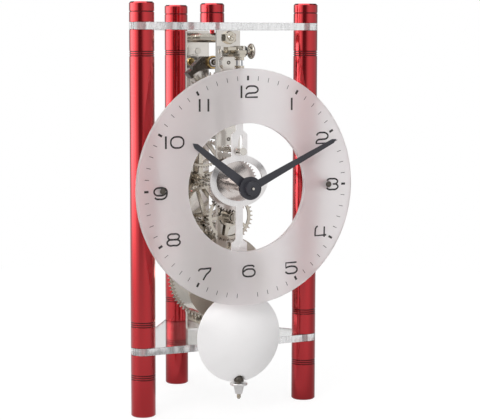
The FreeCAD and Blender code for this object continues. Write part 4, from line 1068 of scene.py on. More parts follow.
@dataclass
class MovementFrame(Assembly):
    """Two narrow plates, their pillars and nuts, and the small fixings on them.

    Attributes:
        nut: the pillars' nuts.
        tip: a pillar's threaded end, by radius and distance from its tip, in millimetres.
        shoulder: the grooved shoulder, from the pillar's radius and the plate.
        sink: profile of an oil sink, outwards from its plate.
        pivots: heights of the sinks on the front plate.
        rear_pivots: heights of the sinks on the back plate.
        click_screw: the screw that the click turns on.
        click_pivot: its place, x and z.
        base_screw: the screw under the bottom plate.
        base_screw_depth: how far it stands behind the front plate's middle.
        bush_chamfer: chamfer of the eccentric bush's disc.
        boss_chamfer: chamfer of its boss.
        boss_radius: the boss's radius.
        boss_x: the boss's place.
    """

    nut: HexNut = HexNut()
    tip: tuple[Point, ...] = ((0, 0.7), (0.75, 0.25), (1.15, 0), (1.63, 0), (1.98, 0.35))
    shoulder: tuple[Point, ...] = ((-0.2, 0), (0, 0.2), (0, 2.2), (-0.25, 2.45), (0, 2.7))
    sink: tuple[Point, ...] = ((0.66, 0), (1.15, 0), (1.15, 0.12), (1.03, 0.17), (0.85, 0.12), (0.75, 0.03))
    pivots: tuple[float, ...] = (112.7, 167.3, 189.0, 213.8)
    rear_pivots: tuple[float, ...] = (112.7, 139.8, 167.3, 189.0)
    click_screw: SlottedScrew = SlottedScrew(1.9, 0.9, 0.45)
    click_pivot: Point = (-4.6, 94.2)
    base_screw: SlottedScrew = SlottedScrew(3.2, 1.6, 0.8, 20.0)
    base_screw_depth: float = 22.75
    bush_chamfer: float = 0.1
    boss_chamfer: float = 0.25
    boss_radius: float = 2.4
    boss_x: float = -5.1

    def nuts(self) -> None:
        """Four chamfered nuts."""
        front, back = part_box("front_plate")[0].y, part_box("back_plate")[1].y
        meshes = []
        for pillar in ("pillar_upper", "pillar_lower"):
            z = self.shop.middle(pillar).z
            for axis, y in ((-Y_AXIS, front), (Y_AXIS, back)):
                meshes.append(self.nut.mesh(axis, Vector((0, y, z))))
        self.shop.stand_in("pillar_nuts", "_chamfered", joined(meshes), self.palette.turned)

    def pillar(self, node: str) -> None:
        """Make a pillar with grooved shoulders, threaded ends and centre-drilled tips.

        Args:
            node: the CAD node that it stands for.
        """
        (front, back), (bottom, top) = self.shop.span(node, Y), self.shop.span(node, Z)
        inner_front, inner_back = self.shop.span("front_plate", Y)[1], self.shop.span("back_plate", Y)[0]
        r, t = (top - bottom) / 2, self.tip[-1][0]
        shoulder = [(t, 0)] + [(r + x, y) for x, y in self.shoulder]
        profile = along(self.tip, front) + along(shoulder, inner_front)
        profile += along(shoulder, inner_back, -1) + along(self.tip, back, -1)
        mesh = turned(profile, Y_AXIS, Vector((0, 0, self.shop.middle(node).z)), PILLAR_STEPS)
        self.shop.stand_in(node, "_turned", mesh, self.palette.turned)

    def oil_sinks(self, node: str, heights: Sequence[float], outward: Vector) -> None:
        """Make polished dished rings round the pivots on a plate's outer face.

        Args:
            node: the plate.
            heights: the pivots' heights, in millimetres.
            outward: the outer face's normal.
        """
        low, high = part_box(node)
        face = low.y if outward.y < 0 else high.y
        meshes = [turned(self.sink, outward, Vector((0, face, z * MM))) for z in heights]
        self.shop.piece(node + "_oil_sinks", joined(meshes), node, self.palette.dark_steel)

    def studs(self) -> None:
        """The fixed stud and the heads of two slotted screws."""
        steel, click = self.palette.steel, self.click_screw
        self.shop.refine(steel, plate_studs=0.08)
        x, z = self.click_pivot
        seat = Vector((x * MM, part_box("plate_studs")[1].y - click.height * MM, z * MM))
        self.shop.piece("click_screw_head", click.head(Y_AXIS, seat), "plate_studs", steel)
        depth = self.shop.middle("front_plate").y + self.base_screw_depth * MM
        under = Vector((0, depth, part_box("bottom_plate")[0].z))
        self.shop.piece("base_screw_head", self.base_screw.head(-Z_AXIS, under), "frame_studs", steel)

    def bush(self) -> None:
        """Flush eccentric disc in the back plate, with a brass boss on it."""
        node = "anchor_bush"
        (left, right), (rise, outer) = self.shop.span(node, X), self.shop.span(node, Y)
        middle, inner = self.shop.middle(node), self.shop.span("back_plate", Y)[0]
        radius, c = (right - left) / 2, self.bush_chamfer
        rim = [(radius - c, 0), (radius, c)]
        disc = [(0, inner), *along(rim, inner), *along(rim, outer, -1), (0, outer)]
        disc_mesh = turned(disc, Y_AXIS, Vector((middle.x, 0, middle.z)), FINE_STEPS)
        self.shop.stand_in(node, "_disc", disc_mesh, self.palette.plate)
        r, c = self.boss_radius, self.boss_chamfer
        boss = [(0, rise), (r - c, rise), (r, rise + c), (r, inner), (0, inner)]
        boss_mesh = turned(boss, Y_AXIS, Vector((self.boss_x * MM, 0, middle.z)))
        self.shop.piece(node + "_boss", boss_mesh, node, self.palette.brass)

    def build(self) -> None:
        """Make the movement frame's pieces."""
        self.shop.refine(self.palette.plate, front_plate=0.15, back_plate=0.15)
        self.pillar("pillar_upper")
        self.pillar("pillar_lower")
        self.nuts()
        self.oil_sinks("front_plate", self.pivots, -Y_AXIS)
        self.oil_sinks("back_plate", self.rear_pivots, Y_AXIS)
        self.studs()
        self.bush()


@dataclass
class GoingTrain(Assembly):
    """Wheels and arbors between the plates, with a riveted collet at each wheel.

    Attributes:
        wheels: the wheels' names.
        collet: profile of a collet behind its wheel, by radius and distance, in millimetres.
        rivet: profile of the rivet ring in front of the wheel.
    """

    wheels: tuple[str, ...] = ("second", "centre", "third")
    collet: tuple[Point, ...] = (
        (1.22, 0), (3.1, 0), (3.1, 0.825), (2.9, 0.975), (1.9, 1.05), (1.8, 1.5), (1.22, 1.5),
    )
    rivet: tuple[Point, ...] = (
        (1.22, 0), (2.5, 0), (2.4, -0.25), (2.0, -0.35), (1.9, -0.1), (1.7, -0.1), (1.6, -0.4), (1.22, -0.4),
    )

    def collets(self, name: str) -> None:
        """Make the stepped collet behind a wheel, and its rivet ring in front.

        Args:
            name: the wheel's name.
        """
        front, rear = self.shop.span(name + "_wheel", Y)
        origin = Vector((0, 0, self.shop.middle(name + "_wheel").z))
        profiles = (along(self.collet, rear), along(self.rivet, front))
        meshes = [turned(profile, Y_AXIS, origin) for profile in profiles]
        self.shop.piece(name + "_collet", joined(meshes), name + "_arbor", self.palette.turned)

    def build(self) -> None:
        """Make the train's pieces."""
        for name in self.wheels:
            self.shop.geared(name + "_wheel", self.palette.wheel)
            self.shop.geared(name + "_arbor", self.palette.steel)
            self.collets(name)


@dataclass
class PowerWork(Assembly):
    """Barrel, its arbor, and the ratchet and click on the back plate."""

    def build(self) -> None:
        """Make the power work's pieces."""
        self.shop.refine(self.palette.wheel, barrel=0.12)
        self.shop.refine(self.palette.steel, barrel_arbor=0.15, ratchet_wheel=0.06, click=0.08)
        self.shop.refine(self.palette.spring, click_spring=0.05, mainspring=0.1)


@dataclass
class Escapement(Assembly):
    """Escape wheel, anchor, collet and crutch.

    Attributes:
        web: outline of the anchor's left web, x and z from the anchor's axis, in millimetres.
        web_inset: how far a web lies behind the anchor's faces.
        ring: profile of the bright ring on the collet, by radius and distance from its face.
        groove: profile of a thin dark disc round it, painted shade that stands for a groove.
    """

    web: tuple[Point, ...] = ((0, 3.5), (-6.2, 3.5), (-13.2, -2.6), (-12.9, -4.3), (-8.0, -4.3), (0, 0.4))
    web_inset: float = 0.4
    ring: tuple[Point, ...] = ((1.9, 0.3), (2.6, 0.3), (2.6, -0.1), (2.4, -0.25), (1.9, -0.25))
    groove: tuple[Point, ...] = ((1.25, 0.1), (3.2, 0.1), (3.2, -0.02), (1.25, -0.02))

    def webs(self) -> None:
        """Raised webs that join the anchor's arms to its hub."""
        low, high = self.shop.span("anchor", Y)
        front, back = low + self.web_inset, high - self.web_inset
        axis = self.shop.middle("anchor_arbor").z / MM
        meshes = []
        for side in (1, -1):
            mesh = bmesh.new()
            corners = [(x * side * MM, front * MM, (z + axis) * MM) for x, z in self.web]
            mesh.faces.new([mesh.verts.new(corner) for corner in corners])
            meshes.append(eased(thickened(mesh, (0, (back - front) * MM, 0)), 0.2))
        self.shop.piece("anchor_webs", joined(meshes), "anchor", self.palette.dark_steel)

    def collet_trim(self) -> None:
        """Bright ring on the collet's face, and round it a thin dark disc that paints the shade of a groove.
        """
        face = self.shop.span("anchor_collet", Y)[0]
        origin = Vector((0, 0, self.shop.middle("anchor_arbor").z))
        # The dark disc is painted shade for a groove round the ring.
        trims = (("_ring", self.ring, self.palette.rod), ("_groove", self.groove, self.palette.dark_steel))
        for ending, profile, finish in trims:
            mesh = turned(along(profile, face), Y_AXIS, origin)
            self.shop.piece("anchor_collet" + ending, mesh, "anchor_collet", finish)

    def build(self) -> None:
        """Make the escapement's pieces."""
        self.shop.geared("escape_wheel", self.palette.wheel)
        self.shop.geared("escape_arbor", self.palette.steel)
        self.shop.refine(self.palette.dark_steel, anchor=0.12)
        self.shop.refine(self.palette.brass, anchor_collet=0.15)
        self.webs()
        self.collet_trim()
        self.shop.refine(self.palette.steel, anchor_arbor=0.05)
        self.shop.refine(self.palette.plate, crutch=0.12)


@dataclass
class Suspension(Assembly):
    """Bracket, beat screw with its knob, carriage and springs.

    Attributes:
        thread: the beat screw's thread.
        core: the screw's radius under its thread, in millimetres.
        point: chamfer of the screw's inner end.
        collar: profile of the screw's collar, by radius and x.
        shank: profile of the knob's neck, from its inner end.
        neck: distance of the neck's other end from the knob's outer end.
        rim: profile of the knob's head, from its greatest radius and its outer end.
        gap_shade: profile of the dark disc in the gap between collar and knob, painted shade, by radius and
            x.
        rivet: profile of a rivet head.
        rivet_places: x of a rivet's seat, and its distance in front of or behind the springs' middle.
        carriage_rivets: height of the rivets on the carriage.
    """

    thread: Thread = Thread(1.5, 0.25)
    core: float = 1.28
    point: float = 0.3
    collar: tuple[Point, ...] = (
        (1.28, 3.0), (1.5, 3.2), (2.7, 3.2), (2.85, 3.35), (2.85, 6.15), (2.7, 6.3), (1.5, 6.3),
    )
    shank: tuple[Point, ...] = ((0, 0), (2.0, 0), (2.2, 0.2))
    neck: float = 2.3
    rim: tuple[Point, ...] = (
        (-1.3, -2.1), (-0.45, -1.8), (0, -1.25), (0, -0.6), (-0.3, -0.25), (-1.0, -0.05), (-2.0, 0),
    )
    gap_shade: tuple[Point, ...] = ((2.1, 8.15), (3.1, 8.15), (3.1, 9.3), (2.1, 9.3))
    rivet: tuple[Point, ...] = ((0, 0), (0.55, 0), (0.5, 0.12), (0.3, 0.22), (0, 0.25))
    rivet_places: Point = (0.9, 3.4)
    carriage_rivets: float = 216.4

    def beat_screw(self) -> None:
        """Screw with a cut thread and a collar, its knob, and a dark disc of painted shade in the gap by the
        knob.
        """
        middle = self.shop.middle("beat_spindle")
        origin = Vector((0, middle.y, middle.z))
        (left, right), core = self.shop.span("beat_spindle", X), self.core
        profile = [(0, left), (core - self.point, left), (core, left + self.point), *self.collar]
        profile += [(self.thread.radius, right), (0, right)]
        ridge = self.thread.ridge(self.collar[0][1] - left, X_AXIS, origin + X_AXIS * left * MM)
        screw = joined([turned(profile, X_AXIS, origin), ridge])
        self.shop.stand_in("beat_spindle", "_threaded", screw, self.palette.turned)
        (hub, end), (bottom, top) = self.shop.span("beat_knob", X), self.shop.span("beat_knob", Z)
        body = along(self.shank, hub) + [(self.shank[-1][0], end - self.neck)]
        body += [((top - bottom) / 2 + r, end + x) for r, x in self.rim] + [(0, end)]
        self.shop.stand_in("beat_knob", "_turned", turned(body, X_AXIS, origin), self.palette.knob)
        # Painted shade: a dark disc fills the gap between the collar and the knob.
        gap_shade = turned(self.gap_shade, X_AXIS, origin)
        self.shop.piece("beat_gap_shade", gap_shade, "beat_knob", self.palette.print)

    def rivets(self) -> None:
        """Rivet heads that clamp the springs in the two blocks."""
        middle, (x, y) = self.shop.middle("suspension_block_lower"), self.rivet_places
        heights = {"suspension_block_lower": middle.z, "suspension_carriage": self.carriage_rivets * MM}
        for node, height in heights.items():
            heads = []
            for side in (-1, 1):
                for shift in (-y, y):
                    seat = Vector((side * x * MM, middle.y + shift * MM, height))
                    heads.append(turned(self.rivet, X_AXIS * side, seat, RIVET_STEPS))
            self.shop.piece(node + "_rivets", joined(heads), node, self.palette.steel)

    def build(self) -> None:
        """Make the suspension's pieces."""
        self.shop.refine(self.palette.plate, suspension_bracket=0.15)
        self.shop.refine(self.palette.turned, suspension_carriage=0.12)
        self.shop.refine(self.palette.spring, suspension_springs=0.02)
        self.shop.refine(self.palette.turned, suspension_block_lower=0.1)
        self.beat_screw()
        self.rivets()


@dataclass
class Pendulum(Assembly):
    """Rod, threaded foot, hook tab, bob and rating nut.

    Attributes:
        thread_depth: height of the rating rod's thread, in millimetres.
        core_inset: how far the rod's core lies under its radius.
        threaded: its threaded length.
        point: profile of its foot, by shares of the core's radius and distance from the foot.
        nut: profile of the rating nut, by radius and height.
        bush: profile of the dark piece in the bob's arch, painted shade, from the bob's foot.
    """

    thread_depth: float = 0.22
    core_inset: float = 0.2
    threaded: float = 24.0
    point: tuple[Point, ...] = ((0, 0), (0.55, 0.1), (1, 0.8))
    nut: tuple[Point, ...] = (
        (1.4, 19.2), (4.6, 19.2), (5.05, 19.05), (5.3, 18.7), (5.3, 17.9), (5.05, 17.6),
        (3.6, 17.15), (3.15, 16.8), (3.0, 16.1), (2.2, 12.5), (2.05, 12.2), (1.4, 12.2),
    )
    bush: tuple[Point, ...] = ((1.4, 0.1), (3.1, 0.1), (3.1, 1.9), (2.2, 3.1), (1.4, 3.4))

    def rating(self) -> None:
        """Threaded rod and rating nut."""
        (left, right), (bottom, top) = self.shop.span("rating_rod", X), self.shop.span("rating_rod", Z)
        centre, r = self.shop.middle("rating_rod"), (right - left) / 2
        origin, core = Vector((centre.x, centre.y, 0)), r - self.core_inset
        profile = [(core * share, bottom + h) for share, h in self.point] + [(core, top), (0, top)]
        start = origin + Z_AXIS * (bottom + self.point[-1][1]) * MM
        ridge = Thread(r, self.thread_depth).ridge(self.threaded, Z_AXIS, start)
        rod = joined([turned(profile, Z_AXIS, origin), ridge])
        self.shop.stand_in("rating_rod", "_threaded", rod, self.palette.turned)
        nut = turned(self.nut, Z_AXIS, origin, FINE_STEPS)
        self.shop.stand_in("rating_nut", "_turned", nut, self.palette.rod)

    def bob(self) -> None:
        """Two spun shells, and a dark piece in the arch at their foot that paints the arch's shade."""
        self.shop.refine(self.palette.bob, flat=False, bob_front=0.15, bob_back=0.15)
        rod = self.shop.middle("rating_rod")
        # Painted shade: the piece in the arch is dark steel so that the arch reads dark.
        profile = along(self.bush, self.shop.span("bob_front", Z)[0])
        mesh = turned(profile, Z_AXIS, Vector((rod.x, rod.y, 0)))
        self.shop.piece("bob_arch_shade", mesh, "bob_front", self.palette.dark_steel)

    def build(self) -> None:
        """Make the pendulum's pieces."""
        self.shop.refine(self.palette.rod, pendulum_rod=0.15, bob_hook=0.2)
        self.rating()
        self.bob()


# Dial


@dataclass(frozen=True)
class Stroke:
    """One pen stroke of a numeral, as points in millimetres about the numeral's middle.

    Attributes:
        points: places that the stroke passes through.
        corners: indexes of the points where it turns sharply.
        closed: whether it returns to its start.
    """

    points: tuple[Point, ...]
    corners: tuple[int, ...] = ()
    closed: bool = False

    def moved(self, shift: float) -> "Stroke":
        """The stroke moved sideways by some millimetres."""
        return Stroke(tuple((x + shift, z) for x, z in self.points), self.corners, self.closed)

    def turned_over(self) -> "Stroke":
        """The stroke turned by half a turn."""
        return Stroke(tuple((-x, -z) for x, z in self.points), self.corners, self.closed)


BAR = Stroke(((0, 3.7), (0, -3.7)), (0, 1))
OVAL = Stroke(
    ((0, 3.25), (3.2, 2.3), (4.1, 0), (3.2, -2.3), (0, -3.25), (-3.2, -2.3), (-4.1, 0), (-3.2, 2.3)), (), True
)
TWO = Stroke(
    (
        (-3.8, 1.6), (-2.6, 2.9), (0.2, 3.3), (2.7, 2.9), (4.1, 1.3), (3.2, -0.3), (0.2, -0.8),
        (-2.6, -1.1), (-3.8, -2.2), (-3.9, -3.3), (4.0, -3.3),
    ),
    (9, 10),
)
THREE = (
    Stroke(((-3.6, 2.2), (-2.6, 3.1), (0.2, 3.3), (2.6, 3.0), (3.8, 1.7), (2.9, 0.3), (0.4, 0.0))),
    Stroke(((2.6, 0.1), (4.1, -1.5), (3.0, -3.0), (0.2, -3.3), (-2.6, -3.1), (-3.8, -2.2))),
)
FOUR = (
    Stroke(((-2.0, 3.4), (-3.3, 2.3), (-3.7, 0.2), (-3.8, -2.5), (4.0, -2.3)), (3, 4)),
    Stroke(((2.6, 2.9), (2.5, -3.5)), (0, 1)),
)
FIVE = Stroke(
    (
        (3.7, 3.3), (-3.6, 3.2), (-3.6, 0.2), (-1.6, 0.8), (1.0, 0.9), (3.3, 0.2), (4.1, -1.3),
        (3.0, -2.9), (0.4, -3.4), (-2.6, -3.2), (-3.9, -2.2),
    ),
    (0, 1, 2),
)
SIX = Stroke(
    (
        (3.5, 2.3), (2.6, 3.1), (0.6, 3.3), (-1.6, 3.2), (-3.4, 2.2), (-4.1, 0.0), (-3.6, -2.2),
        (-1.6, -3.2), (0.4, -3.3), (2.6, -3.0), (4.0, -1.2), (3.0, 0.7), (0.6, 1.2), (-1.8, 1.0),
        (-3.8, -0.3),
    )
)
SEVEN = Stroke(
    ((-4.0, 1.9), (-3.1, 2.9), (0.0, 3.1), (4.0, 3.3), (3.6, 1.8), (1.2, -0.4), (-0.9, -3.6)), (3,)
)
EIGHT = (
    Stroke(
        ((0, 3.4), (2.6, 3.1), (3.6, 1.9), (2.6, 0.3), (0, 0.05), (-2.6, 0.3), (-3.6, 1.9), (-2.6, 3.1)),
        closed=True,
    ),
    Stroke(
        (
            (0, 0.05), (2.9, -0.2), (4.1, -1.7), (2.9, -3.2), (0, -3.4), (-2.9, -3.2), (-4.1, -1.7),
            (-2.9, -0.2),
        ),
        closed=True,
    ),
)
NUMERALS: dict[str, tuple[Point, tuple[Stroke, ...]]] = {
    "1": ((29.3, 49.5), (BAR,)),
    "2": ((50.2, 28.5), (TWO,)),
    "3": ((57.5, 0.0), THREE),
    "4": ((49.7, -28.8), FOUR),
    "5": ((29.5, -50.1), (FIVE,)),
    "6": ((1.0, -50.3), (SIX,)),
    "7": ((-28.3, -50.2), (SEVEN,)),
    "8": ((-48.2, -28.7), EIGHT),
    "9": ((-56.4, -1.2), (SIX.turned_over(),)),
    "10": ((-47.3, 28.3), (BAR.moved(-5.6), OVAL.moved(1.6))),
    "11": ((-28.6, 49.6), (BAR.moved(-2.8), BAR.moved(2.8))),
    "12": ((0.6, 57.2), (BAR.moved(-4.9), TWO.moved(1.9))),
}


@dataclass
class Dial(Assembly):
    """Frosted ring with printed minute marks, hour batons and numerals.

    Attributes:
        opening: radius of the ring's opening, in millimetres.
        chamfer: chamfer of the ring's edges.
        outer: outer radius of the mark band.
        inner: inner radius of the mark band.
        baton: width of an hour mark.
        tick: width of a minute mark.
        pen: width of a numeral's stroke.
        ink: thickness of the print.
        proud: share of it by which a numeral's middle stands before the dial.
        screw: the dial's screws.
    """

    opening: float = 38.5
    chamfer: float = 0.3
    outer: float = 66.6
    inner: float = 63.9
    baton: float = 1.35
    tick: float = 0.34
    pen: float = 1.2
    ink: float = 0.03
    proud: float = 0.4
    screw: SlottedScrew = SlottedScrew(1.8, 0.9, 0.4, 60.0)

    def centre(self, y: float) -> Vector:
        """Point on the dial's axis at a depth in metres."""
        return Vector((0, y, self.shop.middle("dial_ring").z))

    def ring(self) -> None:
        """The sheet with polished, chamfered edges."""
        (front, back), outer = self.shop.span("dial_ring", Y), self.shop.span("dial_ring", X)[1]
        inner, c = self.opening, self.chamfer
        edge = [(inner, c), (inner + c, 0), (outer - c, 0), (outer, c)]
        mesh = turned(along(edge, front) + along(edge, back, -1), Y_AXIS, self.centre(0), 2 * FINE_STEPS)
        self.shop.stand_in("dial_ring", "_frosted", mesh, self.palette.frosted)

    def marks(self, name: str, minutes: Sequence[int], width: float) -> None:
        """Print marks at some of the minutes.

        Args:
            name: the piece's name.
            minutes: which minutes get a mark.
            width: a mark's width, in millimetres.
        """
        place = Matrix.Translation(self.centre(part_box("dial_ring")[0].y))
        meshes = []
        for minute in minutes:
            mark = block((-width / 2, -self.ink, self.inner), (width / 2, 0, self.outer))
            turn = Matrix.Rotation(FULL_TURN * minute / MINUTES, 4, "Y")
            bmesh.ops.transform(mark, matrix=place @ turn, verts=mark.verts)
            meshes.append(mark)
        self.shop.piece(name, joined(meshes), "dial_ring", self.palette.print)

    def pen_stroke(self, stroke: Stroke, place: Vector) -> Mesh:
        """Print one stroke.

        Args:
            stroke: the stroke.
            place: the numeral's middle on the dial's face, in metres.

        Returns:
            The stroke's flat mesh.
        """
        curve = bpy.data.curves.new("stroke", "CURVE")
        curve.dimensions = "3D"
        curve.bevel_depth = self.pen / 2 * MM
        curve.bevel_resolution = 1
        curve.resolution_u = 6
        curve.use_fill_caps = True
        spline = curve.splines.new("BEZIER")
        spline.bezier_points.add(len(stroke.points) - 1)
        spline.use_cyclic_u = stroke.closed
        for index, (point, (x, z)) in enumerate(zip(spline.bezier_points, stroke.points)):
            point.co = (x * MM, 0, z * MM)
            kind = "VECTOR" if index in stroke.corners else "AUTO"
            point.handle_left_type = point.handle_right_type = kind
        carrier = bpy.data.objects.new("stroke", curve)
        bpy.context.scene.collection.objects.link(carrier)
        bpy.context.view_layer.update()
        data = bpy.data.meshes.new_from_object(carrier)
        mesh = bmesh.new()
        mesh.from_mesh(data)
        bpy.data.objects.remove(carrier)
        bpy.data.curves.remove(curve)
        bpy.data.meshes.remove(data)
        bmesh.ops.scale(mesh, vec=(1, self.ink / self.pen, 1), verts=mesh.verts)
        bmesh.ops.translate(mesh, vec=place, verts=mesh.verts)
        return welded(mesh)

    def numerals(self) -> None:
        """The numerals, all upright."""
        centre = self.centre(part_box("dial_ring")[0].y - self.ink * self.proud * MM)
        for text, ((x, z), strokes) in NUMERALS.items():
            place = centre + Vector((x, 0, z)) * MM
            meshes = [self.pen_stroke(stroke, place) for stroke in strokes]
            self.shop.piece("numeral_" + text, joined(meshes), "dial_ring", self.palette.print)

    def fixings(self) -> None:
        """Standoffs with turned ends, and the two slotted screws."""
        self.shop.refine(self.palette.red, dial_standoff_left=0.15, dial_standoff_right=0.15)
        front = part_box("dial_ring")[0].y
        heads = []
        for side in ("left", "right"):
            middle = self.shop.middle("dial_standoff_" + side)
            heads.append(self.screw.head(-Y_AXIS, Vector((middle.x, front, middle.z))))
        finish = self.palette.dark_steel
        self.shop.piece("dial_screw_heads", joined(heads), "dial_screws", finish, replaces=True)

    def build(self) -> None:
        """Make the dial's pieces; there is no mark at 30 minutes."""
        self.ring()
        self.marks("hour_marks", [m for m in range(0, MINUTES, 5) if m != 30], self.baton)
        self.marks("minute_marks", [m for m in range(MINUTES) if m % 5], self.tick)
        self.numerals()
        self.fixings()


@dataclass
class MotionWork(Assembly):
    """Cannon pinion, minute and hour wheels, the hands and their nut.

    Attributes:
        dome: the nut's rounded front, from its radius and its front, in millimetres.
        bore: profile of its bore, by radius and distance from its front.
    """

    dome: tuple[Point, ...] = ((0, 0.5), (-0.15, 0.2), (-0.6, 0))
    bore: tuple[Point, ...] = ((1.5, 0), (1.2, 0.25), (0.86, 0.3), (0.86, 1.0), (1.95, 1.0))

    def nut(self) -> None:
        """Domed nut over the minute hand."""
        (left, right), (front, back) = self.shop.span("hand_nut", X), self.shop.span("hand_nut", Y)
        r = (right - left) / 2
        face = [(r + x, y) for x, y in self.dome] + [*self.bore]
        profile = [(self.bore[-1][0], back), (r, back), *along(face, front)]
        mesh = turned(profile, Y_AXIS, Vector((0, 0, self.shop.middle("hand_nut").z)), 2 * SMALL_STEPS)
        self.shop.stand_in("hand_nut", "_domed", mesh, self.palette.hands)

    def build(self) -> None:
        """Make the motion work's pieces."""
        self.shop.refine(self.palette.steel, cannon_pinion=0.06)
        self.shop.geared("minute_wheel", self.palette.wheel)
        self.shop.refine(self.palette.satin, hour_wheel=0.07)
        self.shop.refine(self.palette.hands, hour_hand=0.12, minute_hand=0.12)
        self.nut()


# Studio


@dataclass(frozen=True)
class Lamp:
    """Soft square lamp that faces the clock's middle.

    Attributes:
        name: the lamp's name.
        place: its place, in metres.
        size: its side, in metres.
        power: its power, in watts.
    """

    name: str
    place: Triple
    size: float
    power: float

    def hang(self) -> None:
        """Put the lamp in the scene."""
        data = bpy.data.lights.new(self.name, "AREA")
        data.shape = "SQUARE"
        data.size = self.size
        data.energy = self.power
        made = bpy.data.objects.new(self.name, data)
        towards = LOOKED_AT - Vector(self.place)
        made.rotation_euler = towards.to_track_quat("-Z", "Y").to_euler()
        made.location = self.place
        bpy.context.scene.collection.objects.link(made)


@dataclass
class Studio:
    """Camera at the photograph's place, a pale floor and plain soft light.

    Attributes:
        eye: the camera's place, in metres.
        aim: its viewing direction.
        roll: its roll, in degrees.
        focal: focal length in pixels.
        width: image width in pixels.
        sensor: sensor width, in millimetres.
        clip: nearest and farthest distance that the camera sees, in metres.
        floor_radius: the floor's radius, in metres.
        floor_grey: the floor's own brightness.
        glow: brightness that it is given for the camera.
        glow_share: the share of that; the rest keeps the shadow.
        ambient: strength of the light from all round.
        around: brightness of the room by degrees to the left of the camera, as metal sees it.
        below: brightness of the floor by the same angle, as metal sees it; on the floor itself it is painted
            light.
        upward: factor on the room's brightness by degrees above the horizon.
        peak: greatest brightness that the ramps can hold.
        shaded: share of the floor's brightness left close to the clock, a painted shadow as metal sees it.
        near: distances from the clock, in metres, over which that painted shadow fades.
        horizon: degrees of elevation between which floor turns into room.
        lamps: the lamps.
    """

    eye: Triple = (-0.40028, -0.87402, 0.22684)
    aim: Vector = field(default_factory=lambda: Vector((0.4313, 0.8956, -0.1093)).normalized())
    roll: float = 0.12
    focal: float = 1536.56
    width: float = 480.0
    sensor: float = 36.0
    clip: Point = (0.01, 20.0)
    floor_radius: float = 0.6
    floor_grey: float = 0.9
    glow: float = 1.06
    glow_share: float = 0.8
    ambient: float = 0.55
    around: tuple[Point, ...] = (
        (-180, 0.8), (-160, 0.3), (-135, 0.3), (-113, 0.55), (-85, 0.7), (-60, 0.86), (-36, 0.95),
        (-20, 0.75), (-4, 0.2), (4, 0.1), (24, 0.1), (36, 1.0), (54, 1.6), (68, 3.2), (98, 3.6),
        (122, 1.0), (132, 0.35), (168, 0.7),
    )
    below: tuple[Point, ...] = (
        (-180, 0.5), (-120, 0.42), (-85, 0.46), (-50, 0.72), (-20, 0.72), (30, 0.68), (60, 0.86), (100, 0.8),
        (140, 0.55),
    )
    upward: tuple[Point, ...] = (
        (-90, 1.0), (0, 1.0), (14, 0.8), (24, 0.3), (42, 0.35), (58, 0.9), (68, 0.3), (90, 0.12),
    )
    peak: float = 5.0
    shaded: float = 0.78
    near: Point = (0.06, 0.26)
    horizon: Point = (-9.7, -3.5)
    lamps: tuple[Lamp, ...] = (
        Lamp("key", (-1.3, -0.9, 1.1), 0.9, 14),
        Lamp("fill", (-0.2, -1.7, 1.3), 1.6, 10),
        Lamp("top", (0.0, 0.3, 1.6), 1.2, 7),
    )

    def camera(self) -> None:
        """Place the camera."""
        data = bpy.data.cameras.new("camera")
        data.sensor_width = self.sensor
        data.lens = self.focal * self.sensor / self.width
        data.clip_start, data.clip_end = self.clip
        right = self.aim.cross(Z_AXIS).normalized()
        up = right.cross(self.aim)
        turn = math.radians(self.roll)
        level = right * math.cos(turn) + up * math.sin(turn)
        upright = up * math.cos(turn) - right * math.sin(turn)
        axes = Matrix((level, upright, -self.aim)).transposed().to_4x4()
        made = bpy.data.objects.new("camera", data)
        made.matrix_world = Matrix.Translation(self.eye) @ axes
        bpy.context.scene.collection.objects.link(made)
        bpy.context.scene.camera = made

    def brightness(self, graph: Graph, direction: Socket, stops: Sequence[Point]) -> Socket:
        """Brightness in a compass direction.

        Args:
            graph: the node tree to build in.
            direction: a vector that points that way.
            stops: brightness by degrees to the left of the camera.

        Returns:
            The brightness as a value socket.
        """
        turn = {"Vector": direction, "Angle": math.atan2(self.aim.x, self.aim.y)}
        turned_to_camera = graph.node("VectorRotate", turn, rotation_type="Z_AXIS").outputs["Vector"]
        split = graph.node("SeparateXYZ", {"Vector": turned_to_camera}).outputs
        left = graph.sum("MULTIPLY", split["X"], -1)
        near = graph.sum("MULTIPLY", split["Y"], -1)
        part = graph.sum("MULTIPLY_ADD", graph.sum("ARCTAN2", left, near), 1 / FULL_TURN, 0.5)
        greys = [((degrees + 180) / 360, (level / self.peak,) * 3) for degrees, level in stops]
        return graph.sum("MULTIPLY", graph.ramp(part, greys), self.peak)

    def floor(self) -> None:
        """Pale floor that keeps a soft shadow but reads as white; polished metal sees it as a duller glow of
        painted light, with a painted shadow close to the clock.
        """
        mesh = bmesh.new()
        bmesh.ops.create_circle(mesh, cap_ends=True, radius=self.floor_radius, segments=2 * SMALL_STEPS)
        made = as_object(mesh, "floor")
        graph = Surface("pale_floor")
        graph.set({"Base Color": (*[self.floor_grey] * 3, 1), "Roughness": 0.8})
        glow = graph.node("Emission", {"Strength": self.glow}).outputs["Emission"]
        share = graph.sum("MULTIPLY", graph.seen(), self.glow_share)
        place = graph.node("TexCoord").outputs["Object"]
        distance = graph.node("VectorMath", {0: place}, operation="LENGTH").outputs["Value"]
        # Painted light and shadow: in polished metal the floor glows by direction, and is darker close to the
        # clock as a painted shadow.
        painted_shadow = graph.ranged(distance, self.near, (self.shaded, 1.0), "SMOOTHSTEP")
        mirrored = graph.sum("MULTIPLY", self.brightness(graph, place, self.below), painted_shadow)
        painted_glow = graph.node("Emission", {"Color": mirrored}).outputs["Emission"]
        path = graph.node("LightPath").outputs
        mirror = graph.sum("SUBTRACT", path["Is Glossy Ray"], path["Is Transmission Ray"])
        white = graph.mixed(share, graph.main.outputs["BSDF"], glow)
        whole = graph.mixed(graph.sum("MAXIMUM", mirror, 0), white, painted_glow)
        graph.feed(graph.tree.nodes["Material Output"], {"Surface": whole})
        made.data.materials.append(graph.material)

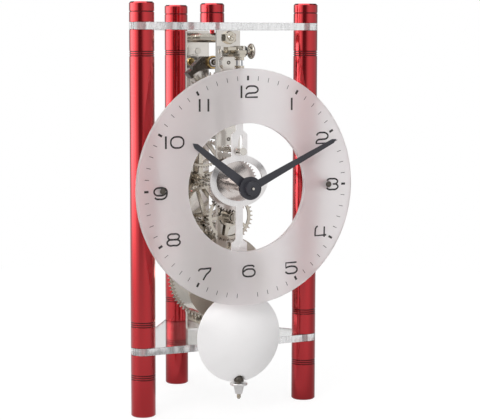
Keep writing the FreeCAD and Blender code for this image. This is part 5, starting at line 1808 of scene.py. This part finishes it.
    def world(self) -> None:
        """White surroundings; metal sees a room with a light on the left and a dark stretch by the camera."""
        world = bpy.data.worlds.new("studio")
        bpy.context.scene.world = world
        world.use_nodes = True
        world.node_tree.nodes.clear()
        graph = Graph(world.node_tree)
        light = graph.node("Background", {"Color": (1, 1, 1, 1), "Strength": self.ambient}).outputs[0]
        white = graph.node("Background", {"Color": (1, 1, 1, 1)}).outputs[0]
        room = graph.node("Background", {"Color": self.room_light(graph)}).outputs[0]
        inner = graph.mixed(graph.node("LightPath").outputs["Is Glossy Ray"], light, room)
        graph.node("OutputWorld", {"Surface": graph.mixed(graph.seen(), inner, white)})

    def room_light(self, graph: Graph) -> Socket:
        """Brightness of the room by direction, as metal sees it.

        Args:
            graph: the world's node tree.

        Returns:
            The brightness as a value socket.
        """
        direction = graph.node("TexCoord").outputs["Generated"]
        rise = graph.node("SeparateXYZ", {"Vector": direction}).outputs["Z"]
        height = graph.sum("MULTIPLY_ADD", rise, 0.5, 0.5)
        sines = [(math.sin(math.radians(degrees)), factor) for degrees, factor in self.upward]
        band = graph.ramp(height, [((sine + 1) / 2, (factor,) * 3) for sine, factor in sines])
        room = graph.sum("MULTIPLY", self.brightness(graph, direction, self.around), band)
        ends = [math.sin(math.radians(degrees)) for degrees in self.horizon]
        share = graph.ranged(rise, ends, (0, 1), "SMOOTHSTEP")
        floor = self.brightness(graph, direction, self.below)
        return graph.node("Mix", {0: share, 2: floor, 3: room}).outputs[0]

    def build(self) -> None:
        """Set up the studio."""
        bpy.context.scene.view_settings.view_transform = "Standard"
        self.camera()
        self.floor()
        self.world()
        for lamp in self.lamps:
            lamp.hang()


def main() -> None:
    """Build the whole clock and its studio."""
    logging.basicConfig(level=logging.INFO, format="%(name)s %(message)s")
    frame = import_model()
    shop = Workshop(frame)
    assemblies: tuple[type[Assembly], ...] = (
        Stand,
        MovementFrame,
        PowerWork,
        GoingTrain,
        Escapement,
        Suspension,
        Pendulum,
        Dial,
        MotionWork,
    )
    for assembly in assemblies:
        assembly(shop).build()
        LOG.info("%s is done", assembly.__name__)
    Studio().build()


if __name__ == "__main__":
    main()
